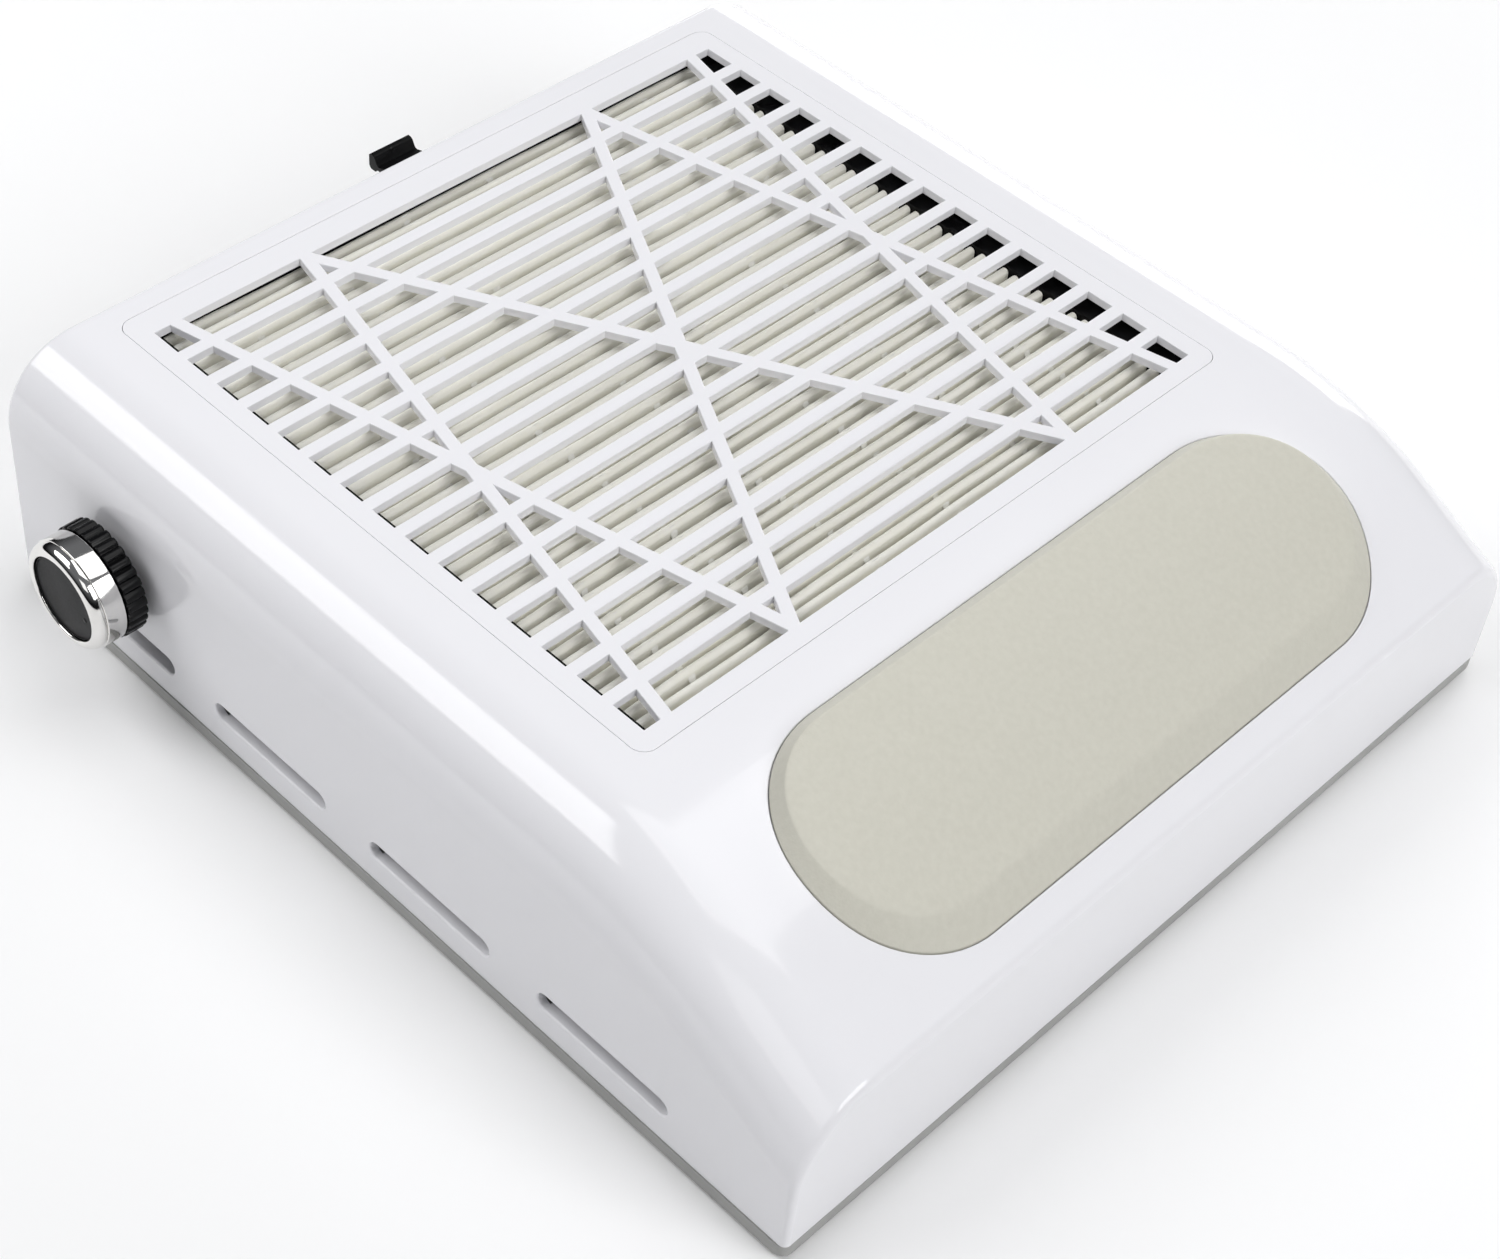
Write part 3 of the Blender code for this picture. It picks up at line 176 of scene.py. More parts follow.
class Finish:
    """A Principled material whose textures follow the piece's own coordinates."""

    def __init__(self, name, color, roughness, metallic=0.0, **sockets):
        self.material = bpy.data.materials.new(name)
        self.material.use_nodes = True
        self.material.diffuse_color = (*color, 1.0)
        self.tree = self.material.node_tree
        self.shader = self.tree.nodes["Principled BSDF"]
        self.coords = self.tree.nodes.new("ShaderNodeTexCoord").outputs["Object"]
        self.set("Base Color", (*color, 1.0))
        self.set("Roughness", roughness)
        self.set("Metallic", metallic)
        for socket, value in sockets.items():
            self.set(socket.replace("_", " "), value)

    def set(self, socket, value):
        self.shader.inputs[socket].default_value = value

    def add(self, kind, inputs):
        """A new node with its inputs linked to sockets or set to values."""
        node = self.tree.nodes.new(kind)
        for key, value in inputs.items():
            if isinstance(value, bpy.types.NodeSocket):
                self.tree.links.new(value, node.inputs[key])
            else:
                node.inputs[key].default_value = value
        return node

    def stretched(self, scale):
        return self.add("ShaderNodeMapping", {"Vector": self.coords, "Scale": scale}).outputs[0]

    def noise(self, scale, detail=2.0, stretch=None):
        vector = self.stretched(stretch) if stretch else self.coords
        inputs = {"Vector": vector, "Scale": scale, "Detail": detail}
        return self.add("ShaderNodeTexNoise", inputs).outputs["Fac"]

    def cells(self, scale):
        inputs = {"Vector": self.coords, "Scale": scale}
        return self.add("ShaderNodeTexVoronoi", inputs).outputs["Distance"]

    def tint(self, value, first, second):
        """Base colour running from first to second with value."""
        ramp = self.add("ShaderNodeValToRGB", {"Fac": value})
        ramp.color_ramp.elements[0].position = NOISE_LOW
        ramp.color_ramp.elements[1].position = NOISE_HIGH
        ramp.color_ramp.elements[0].color = (*first, 1.0)
        ramp.color_ramp.elements[1].color = (*second, 1.0)
        self.tree.links.new(ramp.outputs["Color"], self.shader.inputs["Base Color"])

    def gloss(self, value, low, high):
        """Roughness running from low to high with value."""
        inputs = {"Value": value, "From Min": NOISE_LOW, "From Max": NOISE_HIGH,
                  "To Min": low, "To Max": high}
        spread = self.add("ShaderNodeMapRange", inputs)
        self.tree.links.new(spread.outputs["Result"], self.shader.inputs["Roughness"])

    def relief(self, *layers):
        """Bump from (height, strength, distance) layers, one over the other."""
        below = None
        for height, strength, distance in layers:
            inputs = {"Height": height, "Strength": strength, "Distance": distance}
            if below:
                inputs["Normal"] = below
            below = self.add("ShaderNodeBump", inputs).outputs["Normal"]
        self.tree.links.new(below, self.shader.inputs["Normal"])


def moulded(name, color, rough, grain, depth, drift=0.08, **sockets):
    """Moulded plastic: a faint colour drift, uneven gloss and a fine grain, its depth in mm."""
    skin = Finish(name, color, rough, **sockets)
    skin.tint(skin.noise(18.0, 3.0), [c * (1 - drift) for c in color], [c * (1 + drift) for c in color])
    skin.gloss(skin.noise(55.0, 4.0), rough * 0.8, rough * 1.25)
    skin.relief((skin.noise(grain, 2.0), 0.25, depth * MM), (skin.noise(160.0, 1.0), 0.12, depth * 2 * MM))
    return skin.material


def metal(name, color, rough, streaks):
    """Plated or drawn metal with fine streaks and a mottled gloss."""
    skin = Finish(name, color, rough, 1.0)
    skin.gloss(skin.noise(90.0, 5.0), rough * 0.7, rough * 1.4)
    skin.tint(skin.noise(60.0, 3.0), [c * 0.86 for c in color], color)
    skin.relief((skin.noise(700.0, 3.0, stretch=streaks), 0.15, 0.00004))
    return skin.material


def make_materials():
    skins = (
        moulded("white_abs", (0.842, 0.84, 0.869), 0.11, 900.0, 0.01, drift=0.009),
        moulded("tray_abs", (0.69, 0.69, 0.71), 0.42, 1500.0, 0.05, drift=0.04),
        moulded("base_grey", (0.36, 0.36, 0.35), 0.5, 1800.0, 0.08),
        moulded("frame_black", (0.003, 0.003, 0.0034), 0.3, 900.0, 0.03, drift=0.4, Specular_IOR_Level=0.15),
        moulded("component_black", (0.013, 0.013, 0.0145), 0.5, 2200.0, 0.04, drift=0.35),
        moulded("wheel_black", (0.02, 0.02, 0.022), 0.38, 1200.0, 0.04, drift=0.3),
        moulded("knob_black", (0.0025, 0.0025, 0.003), 0.24, 1500.0, 0.02, drift=0.3, Specular_IOR_Level=0.2),
        moulded("rubber", (0.028, 0.028, 0.0275), 0.8, 1400.0, 0.1, drift=0.2),
        moulded("cable_sheath", (0.015, 0.015, 0.0155), 0.45, 1600.0, 0.04, drift=0.3),
        moulded("nylon", (0.82, 0.81, 0.745), 0.45, 1200.0, 0.04, drift=0.05),
        moulded("can_blue", (0.016, 0.038, 0.13), 0.3, 700.0, 0.03, drift=0.2),
        metal("steel", (0.62, 0.62, 0.63), 0.3, (1.0, 1.0, 6.0)),
        metal("aluminium", (0.72, 0.73, 0.74), 0.36, (1.0, 1.0, 0.1)),
        metal("knob_chrome", (0.83, 0.82, 0.80), 0.07, (0.1, 1.0, 1.0)),
    )
    mats = {skin.name.split(".")[0]: skin for skin in skins}

    pad = Finish("pad_greige", (0.60, 0.585, 0.51), 0.62, Sheen_Weight=0.15, Sheen_Roughness=0.5)
    pad.tint(pad.noise(600.0, 5.0), (0.575, 0.562, 0.487), (0.605, 0.592, 0.516))
    pad.gloss(pad.noise(80.0, 3.0), 0.55, 0.72)
    pad.relief((pad.cells(1600.0), 0.3, 0.00008), (pad.noise(2600.0, 3.0), 0.3, 0.00006))
    mats["pad_greige"] = pad.material

    paper = Finish("filter_paper", (0.98, 0.965, 0.88), 0.9)
    paper.tint(paper.noise(420.0, 6.0, stretch=(0.35, 1.0, 1.0)), (0.97, 0.955, 0.865), (0.995, 0.983, 0.92))
    paper.relief((paper.noise(2400.0, 4.0, stretch=(0.3, 1.0, 1.0)), 0.5, 0.00012))
    mats["filter_paper"] = paper.material

    glue = Finish("glue", (0.94, 0.935, 0.89), 0.4)
    glue.gloss(glue.noise(900.0, 2.0), 0.3, 0.45)
    glue.tint(glue.noise(500.0), (0.92, 0.915, 0.87), (0.96, 0.955, 0.92))
    mats["glue"] = glue.material

    cap = Finish("cap_grey", (0.03, 0.03, 0.031), 0.4, Specular_IOR_Level=0.05)
    cap.tint(cap.noise(1500.0, 3.0), (0.025, 0.025, 0.026), (0.035, 0.035, 0.036))
    cap.gloss(cap.noise(120.0, 3.0), 0.33, 0.45)
    cap.relief((cap.noise(3000.0, 2.0), 0.25, 0.00004))
    mats["cap_grey"] = cap.material

    board = Finish("board_green", (0.02, 0.16, 0.07), 0.32)
    board.tint(board.noise(240.0, 1.0, stretch=(1.0, 0.15, 1.0)), (0.012, 0.11, 0.045), (0.03, 0.2, 0.085))
    board.relief((board.noise(240.0, 1.0, stretch=(1.0, 0.15, 1.0)), 0.4, 0.00005))
    mats["board_green"] = board.material
    return mats


# ---------------------------------------------------------------- mesh helpers

def loft_data(loops, closed=False, start=0):
    """Vertices and faces of a skin over loops of equally many points, capped unless it closes."""
    count = len(loops[0])
    verts = [point for loop in loops for point in loop]
    faces = []
    for span in range(len(loops) if closed else len(loops) - 1):
        low = start + span * count
        high = start + (span + 1) % len(loops) * count
        for i in range(count):
            j = (i + 1) % count
            faces.append((low + i, low + j, high + j, high + i))
    if not closed:
        faces.append(tuple(start + i for i in range(count)))
        faces.append(tuple(start + (len(loops) - 1) * count + i for i in range(count)))
    return verts, faces


def shell(name, verts, faces):
    """An object with its faces pointing out."""
    mesh = bpy.data.meshes.new(name)
    mesh.from_pydata(verts, [], faces)
    shape = bmesh.new()
    shape.from_mesh(mesh)
    bmesh.ops.recalc_face_normals(shape, faces=shape.faces)
    shape.to_mesh(mesh)
    shape.free()
    obj = bpy.data.objects.new(name, mesh)
    bpy.context.scene.collection.objects.link(obj)
    return obj


def loft(name, loops, closed=False):
    return shell(name, *loft_data(loops, closed))


def lofts(name, many):
    """One object of several separate lofts."""
    verts = []
    faces = []
    for loops in many:
        more_verts, more_faces = loft_data(loops, start=len(verts))
        verts += more_verts
        faces += more_faces
    return shell(name, verts, faces)


def upright(outline, low, high):
    """Loops of an upright prism over an (x, y) outline."""
    return [[(x, y, z) for x, y in outline] for z in (low, high)]


def turned(name, profile, steps):
    """A ring or disc turned about Z from a closed (radius, z) profile that stays off the axis."""
    loops = []
    for i in range(steps):
        angle = math.tau * i / steps
        loops.append([(r * math.cos(angle), r * math.sin(angle), z) for r, z in profile])
    return loft(name, loops, closed=True)


def rectangle(x0, x1, y0, y1):
    return [(x0, y0), (x1, y0), (x1, y1), (x0, y1)]


def circle(radius, steps=32, x=0.0, y=0.0):
    angles = [math.tau * i / steps for i in range(steps)]
    return [(x + radius * math.cos(a), y + radius * math.sin(a)) for a in angles]


def rounded(x0, x1, y0, y1, radius, steps=8):
    """A rectangle with round corners, from its lower right corner round to the left."""
    corners = (
        (x1 - radius, y0 + radius, -90.0),
        (x1 - radius, y1 - radius, 0.0),
        (x0 + radius, y1 - radius, 90.0),
        (x0 + radius, y0 + radius, 180.0),
    )
    points = []
    for x, y, first in corners:
        for i in range(steps + 1):
            angle = math.radians(first + 90.0 * i / steps)
            points.append((x + radius * math.cos(angle), y + radius * math.sin(angle)))
    return points


def round_steps(radius, steps=4):
    """(in, down) steps of a rounded edge: from radius in at no depth to no way in at radius deep."""
    turns = [math.pi / 2 * i / steps for i in range(steps + 1)]
    return [(radius * (1 - math.sin(turn)), radius * (1 - math.cos(turn))) for turn in turns]


def flared(loop_at, depth, flare):
    """Loops of a cutter that enters a surface through a rounded rim. loop_at takes (margin, depth)."""
    loops = [loop_at(flare, -LEAD)]
    loops += [loop_at(margin, down) for margin, down in round_steps(flare)]
    return loops + [loop_at(0.0, depth)]


def grown(polygon, margin):
    """A convex polygon with each side moved out by margin, its corners kept sharp."""
    turn = sum(x0 * y1 - x1 * y0 for (x0, y0), (x1, y1) in zip(polygon, polygon[1:] + polygon[:1]))
    side = math.copysign(margin, turn)
    lines = []
    for (x0, y0), (x1, y1) in zip(polygon, polygon[1:] + polygon[:1]):
        length = math.hypot(x1 - x0, y1 - y0)
        a, b = (y1 - y0) / length, (x0 - x1) / length
        lines.append((a, b, a * x0 + b * y0 + side))
    points = []
    for (a0, b0, c0), (a1, b1, c1) in zip(lines[-1:] + lines[:-1], lines):
        bend = a0 * b1 - a1 * b0
        points.append(((c0 * b1 - c1 * b0) / bend, (a0 * c1 - a1 * c0) / bend))
    return points


def carve(obj, tool, operation="DIFFERENCE"):
    """Adds a Boolean step, which settle() carries out."""
    step = obj.modifiers.new(tool.name, "BOOLEAN")
    step.operation = operation
    step.solver = "EXACT"
    step.object = tool


def settle(obj):
    """Puts the modifiers into the mesh and removes the tools they used."""
    mesh = bpy.data.meshes.new_from_object(obj.evaluated_get(bpy.context.evaluated_depsgraph_get()))
    tools = [step.object for step in obj.modifiers if step.type == "BOOLEAN"]
    obj.modifiers.clear()
    obj.data = mesh
    for tool in tools:
        bpy.data.objects.remove(tool)


def place(obj, mat, body, stands_for=(), crease=40.0, matrix=None, slot=None):
    """Moves a finished shape into the frame, shades it, and ties it to its CAD body.

    slot is not used.
    """
    settle(obj)
    mesh = obj.data
    if matrix:
        mesh.transform(matrix)
    mesh.transform(Matrix.Translation(AXIS))
    mesh.materials.clear()
    mesh.materials.append(mat)
    mesh.shade_smooth()
    mesh.set_sharp_from_angle(angle=math.radians(crease))
    normals = obj.modifiers.new("even_shading", "WEIGHTED_NORMAL")
    normals.keep_sharp = True
    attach(obj, body)
    slot or mat.name.split(".")[0]
    if stands_for:
        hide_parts(*stands_for)
    return obj


# ---------------------------------------------------------------- housing

def roof_height(y):
    """The roof's outer height on the middle line: level, then an arc, then a straight slope."""
    if y >= SLOPE_START:
        return TOP
    if y >= SLOPE_END:
        run = SLOPE_START - y
        return TOP - SLOPE_RADIUS + math.sqrt(SLOPE_RADIUS**2 - run**2)
    arc_drop = SLOPE_RADIUS * (1 - math.cos(SLOPE_ANGLE))
    return TOP - arc_drop - (SLOPE_END - y) * math.tan(SLOPE_ANGLE)


def side_at(z):
    """Half the housing's width at a height."""
    return HALF_WIDTH - SIDE_DRAFT * (z - RIM)


def section(y, inset, low, steps=20):
    """Cross-section at y, all of it drawn in by inset."""
    shoulder = roof_height(y) - CORNER
    middle = side_at(shoulder) - CORNER
    points = [(side_at(low) - inset, y, low)]
    for i in range(steps + 1):
        angle = math.pi / 2 * i / steps
        reach = CORNER - inset
        points.append((middle + reach * math.cos(angle), y, shoulder + reach * math.sin(angle)))
    return points + [(-x, y, z) for x, y, z in reversed(points)]


def housing_loops():
    """The housing's skin from back to front, with rounded edges round both ends."""
    ends = round_steps(EDGE_ROUND, 6)
    loops = [section(BACK - along, inset, RIM) for along, inset in reversed(ends)]
    bend = 14
    for i in range(bend + 1):
        loops.append(section(SLOPE_START - SLOPE_RADIUS * math.sin(SLOPE_ANGLE * i / bend), 0.0, RIM))
    loops += [section(FRONT + along, inset, RIM) for along, inset in ends]
    return loops


def cavity_loops():
    """The room inside the housing, open at the bottom."""
    deep = RIM - BEYOND
    bend = 8
    loops = [section(BACK - WALL, WALL, deep, 10)]
    for i in range(bend + 1):
        loops.append(section(SLOPE_START - SLOPE_RADIUS * math.sin(SLOPE_ANGLE * i / bend), WALL, deep, 10))
    loops.append(section(FRONT + WALL, WALL, deep, 10))
    return loops


def pad_loop(inset, lift):
    """The hand rest's outline drawn in by inset, and by more at the front, at a lift above the roof."""
    more = (PAD_FRONT_BEVEL / PAD_BEVEL - 1) * min(max(inset, 0.0), PAD_BEVEL)
    half_x = PAD_HALF_X - inset
    half_s = PAD_HALF_S - inset - more / 2
    radius = min(PAD_ROUND - inset - more / 2, half_s - 0.2 * MM)
    middle = PAD_MIDDLE + more / 2 * PAD_LEAN
    outline = rounded(-half_x, half_x, -half_s, half_s, radius, steps=20)
    points = [(x, middle + s * PAD_LEAN) for x, s in outline]
    return [(x, y, roof_height(y) + lift) for x, y in points]


def vent_loops(side, middle):
    """A cutter for a round-ended slot through a side wall."""
    half_y = VENT_LENGTH / 2
    half_z = VENT_HEIGHT / 2
    surface = side_at(VENT_LEVEL)

    def loop_at(margin, depth):
        outline = rounded(middle - half_y - margin, middle + half_y + margin, VENT_LEVEL - half_z - margin,
                          VENT_LEVEL + half_z + margin, half_z + margin - 0.1 * MM, steps=10)
        return [(side * (surface - depth), y, z) for y, z in outline]

    return flared(loop_at, 2 * BEYOND, 0.5 * MM)


def shelf_loops(side, middle):
    """A thin shelf behind a vent, level with the vent's lower face."""
    half_y = VENT_LENGTH / 2 - 2 * MM
    top = VENT_LEVEL - VENT_HEIGHT / 2 + 0.2 * MM
    outline = rectangle(middle - half_y, middle + half_y, top - 1.4 * MM, top)
    places = [side * (side_at(VENT_LEVEL) - depth) for depth in (WALL / 2, SHELF_DEPTH)]
    return [[(x, y, z) for y, z in outline] for x in places]


def make_housing(mats):
    """The shell with its ledge, screw posts, hand rest pocket, vents, drawer mouth and holes."""
    housing = loft("housing_shell", housing_loops())
    carve(housing, loft("cavity", cavity_loops()))
    edge = LEDGE_WIDTH
    ledge = rectangle(PANEL_LOW.x - edge, PANEL_HIGH.x + edge, PANEL_LOW.y - edge, PANEL_HIGH.y + edge)
    carve(housing, loft("ledge", upright(ledge, TOP - LEDGE_DROP, TOP - WALL / 2)), "UNION")
    posts = []
    pilots = []
    for x, y, foot, top, pilot_low, pilot_high in POSTS:
        for side in (1, -1):
            tube = circle(POST_RADIUS, 24, side * x * MM, y * MM)
            posts.append(upright(tube, foot * MM, top * MM))
            bore = circle(PILOT_RADIUS, 16, side * x * MM, y * MM)
            pilots.append(upright(bore, pilot_low * MM, pilot_high * MM))
    carve(housing, lofts("posts", posts), "UNION")

    def seat_at(margin, depth):
        grow = SEAM + margin
        outline = rounded(PANEL_LOW.x - grow, PANEL_HIGH.x + grow, PANEL_LOW.y - grow, PANEL_HIGH.y + grow,
                          PANEL_ROUND + grow)
        return [(x, y, TOP - depth) for x, y in outline]

    carve(housing, loft("panel_seat", flared(seat_at, PANEL_THICK + GAP, 0.1 * MM)))
    opening = rounded(PANEL_LOW.x + edge, PANEL_HIGH.x - edge, PANEL_LOW.y + edge, PANEL_HIGH.y - edge,
                      PANEL_ROUND)
    carve(housing, loft("air_opening", upright(opening, TOP - LEDGE_DROP - BEYOND, TOP)))
    pocket = flared(lambda margin, depth: pad_loop(-GAP - margin, -depth), PAD_SINK + GAP, 0.35 * MM)
    pocket.insert(0, [(x, y, TOP + BEYOND) for x, y, z in pocket[0]])
    pocket += [pad_loop(inset * MM, -PAD_SINK - GAP) for inset in range(4, 29, 4)]
    carve(housing, loft("pad_pocket", pocket))
    vents = [(side, FIRST_VENT + VENT_PITCH * i) for i in range(VENTS) for side in (1, -1)]
    carve(housing, lofts("vent_shelves", [shelf_loops(*vent) for vent in vents]), "UNION")
    carve(housing, lofts("vents", [vent_loops(*vent) for vent in vents]))

    def mouth_at(margin, depth):
        grow = MOUTH_PLAY + margin
        outline = rounded(DRAWER_LOW.x - grow, DRAWER_HIGH.x + grow, DRAWER_LOW.z - grow,
                          DRAWER_TOP + grow, 1.2 * MM + margin, steps=5)
        return [(x, BACK - depth, z) for x, z in outline]

    carve(housing, loft("drawer_mouth", flared(mouth_at, WALL + 1 * MM, 0.4 * MM)))
    hole = circle(KNOB_HOLE_RADIUS, 32, KNOB_AXIS.y, KNOB_AXIS.z)
    carve(housing, loft("knob_hole", [[(x, y, z) for y, z in hole] for x in (-140 * MM, -120 * MM)]))
    jack_low, jack_high = local_box("jack_nut")
    hole = circle(JACK_HOLE_RADIUS, 32, (jack_low.x + jack_high.x) / 2, (jack_low.z + jack_high.z) / 2)
    carve(housing, loft("jack_hole", [[(x, y, z) for x, z in hole] for y in (95 * MM, 110 * MM)]))
    carve(housing, lofts("pilots", pilots))
    place(housing, mats["white_abs"], "collector_body", ["top_housing"])


# ---------------------------------------------------------------- grille and hand rest

def clipped(polygon, a, b, c):
    """The part of a convex polygon where a*x + b*y <= c."""
    kept = []
    for i, (x, y) in enumerate(polygon):
        next_x, next_y = polygon[(i + 1) % len(polygon)]
        here = a * x + b * y - c
        there = a * next_x + b * next_y - c
        if here <= 0:
            kept.append((x, y))
        if (here < 0 < there) or (there < 0 < here):
            t = here / (here - there)
            kept.append((x + t * (next_x - x), y + t * (next_y - y)))
    return kept


def area(polygon):
    ends = zip(polygon, polygon[1:] + polygon[:1])
    return abs(sum(x0 * y1 - x1 * y0 for (x0, y0), (x1, y1) in ends)) / 2


def grille_cells():
    """The holes between the slats, each row split by the six ribs, which cross in three pairs."""
    ends = (-RIB_OUTER, -RIB_INNER), (-RIB_INNER, RIB_INNER), (RIB_INNER, RIB_OUTER)
    ribs = [pair for a, b in ends for pair in ((a, b), (b, a))]
    edges = [GRILLE_HALF_Y]
    for i in range(SLATS):
        middle = FIRST_SLAT - SLAT_PITCH * i
        edges += [middle + SLAT_WIDTH / 2, middle - SLAT_WIDTH / 2]
    edges.append(-GRILLE_HALF_Y)
    cells = [rectangle(-GRILLE_HALF_X, GRILLE_HALF_X, low, high)
             for high, low in zip(edges[::2], edges[1::2])]
    for back_x, front_x in ribs:
        run = front_x - back_x
        drop = 2 * GRILLE_HALF_Y
        length = math.hypot(run, drop)
        a, b = drop / length, run / length
        c = a * back_x + b * GRILLE_HALF_Y
        halves = []
        for cell in cells:
            halves.append(clipped(cell, a, b, c - RIB_WIDTH / 2))
            halves.append(clipped(cell, -a, -b, -c - RIB_WIDTH / 2))
        cells = [half for half in halves if len(half) > 2 and area(half) > SMALLEST_CELL]
    return cells


def make_grille(mats):
    """The panel, with softly rounded edges round its outline and its holes."""
    def outline(inset):
        return rounded(PANEL_LOW.x + inset, PANEL_HIGH.x - inset, PANEL_LOW.y + inset,
                       PANEL_HIGH.y - inset, PANEL_ROUND - inset)

    loops = [[(x, y, TOP - PANEL_THICK) for x, y in outline(0.0)]]
    loops += [[(x, y, TOP - down) for x, y in outline(inset)] for down, inset in round_steps(0.1 * MM)]
    panel = loft("grille", loops)
    holes = []
    for cell in grille_cells():
        def cell_at(margin, down, cell=cell):
            return [(x, y, TOP - down) for x, y in grown(cell, margin)]

        holes.append(flared(cell_at, PANEL_THICK + BEYOND, 0.3 * MM))
    carve(panel, lofts("holes", holes))
    place(panel, mats["white_abs"], "collector_body", ["grille_panel"])


def make_hand_rest(mats):
    """A soft pad: an upright edge in the seam, a wide bevel and a soft shoulder round its flat top."""
    rim = [(0.5, -1.1), (0.1, -1.0), (0.0, -0.8), (0.0, -0.1), (0.05, 0.06)]
    bevel = [(0.2 + 3.3 * i / 6, 0.2 + 3.2 * i / 6) for i in range(7)]
    shoulder = [(3.75, 3.6), (4.05, 3.71), (4.5, 3.78), (5.1, 3.8)]
    loops = [pad_loop(inset * MM, -PAD_SINK) for inset in range(28, 3, -4)]
    loops += [pad_loop(inset * MM, lift * MM) for inset, lift in rim + bevel + shoulder]
    loops += [pad_loop(inset * MM, PAD_RISE) for inset in range(6, 29, 2)]
    pad = loft("hand_rest", loops)
    place(pad, mats["pad_greige"], "collector_body", ["hand_rest_pad"], crease=50.0)


# ---------------------------------------------------------------- filter drawer

def fold(y, centre, radius):
    """A side of the paper round a fold, over a ridge where radius is positive, else under a valley."""
    arc = [math.radians(angle) for angle in (176, 150, 120, 90, 60, 30, 4)]
    return [(y + abs(radius) * math.cos(a), centre + radius * math.sin(a)) for a in arc]


def make_media(mats):
    """Pleated paper, folded along X with round folds, and rows of glue that space the pleats."""
    first = MEDIA_LOW.y + RIDGE_RADIUS
    step = (MEDIA_HIGH.y - RIDGE_RADIUS - first) / (PLEATS - 1) / 2
    upper = []
    lower = []
    for i in range(2 * PLEATS - 1):
        y = first + step * i
        if i % 2 == 0:
            centre = MEDIA_HIGH.z - RIDGE_RADIUS
            upper += fold(y, centre, RIDGE_RADIUS)
            lower += fold(y, centre, RIDGE_RADIUS - PAPER_THICK)
        else:
            centre = MEDIA_LOW.z + VALLEY_RADIUS
            upper += fold(y, centre, PAPER_THICK - VALLEY_RADIUS)
            lower += fold(y, centre, -VALLEY_RADIUS)
    outline = upper + lower[::-1]
    stations = 56
    loops = []
    for i in range(stations + 1):
        x = MEDIA_LOW.x + (MEDIA_HIGH.x - MEDIA_LOW.x) * i / stations
        loop = []
        for y, z in outline:
            share = (z - MEDIA_LOW.z) / (MEDIA_HIGH.z - MEDIA_LOW.z)
            pleat = round((y - first) / step / 2)
            sway = noise.noise(Vector((x * 28.0, pleat * 7.3, 1.7))) * 0.45 * MM * share
            sag = (noise.noise(Vector((x * 45.0, pleat * 3.1, 9.2))) - 0.6) * 0.25 * MM * share
            loop.append((x, y + sway, z + sag))
        loops.append(loop)
    paper = loft("pleated_paper", loops)
    place(paper, mats["filter_paper"], "filter_cartridge", ["filter_media"], crease=60.0)

    for row in range(GLUE_ROWS):
        x = (row - (GLUE_ROWS - 1) / 2) * GLUE_SPACING
        loops = []
        for i in range(4 * PLEATS - 3):
            y = first + step * i / 2
            on_ridge = 0.5 + 0.5 * math.cos(math.tau * (y - first) / step / 2)
            ragged = noise.noise(Vector((row * 5.0, y * 700.0, 0.0)))
            radius = (0.45 + 0.2 * on_ridge + 0.2 * ragged) * MM
            sway = 1.2 * MM * noise.noise(Vector((row * 3.0, y * 160.0, 4.0)))
            z = MEDIA_HIGH.z - (0.45 + 3.2 * (1 - on_ridge) ** 1.5) * MM
            loops.append([(x + sway + 1.9 * radius * c, y, z + 0.6 * radius * s) for c, s in circle(1.0, 10)])
        bead = loft(f"glue_bead_{row + 1}", loops)
        place(bead, mats["glue"], "filter_cartridge", crease=80.0, slot="filter_paper")


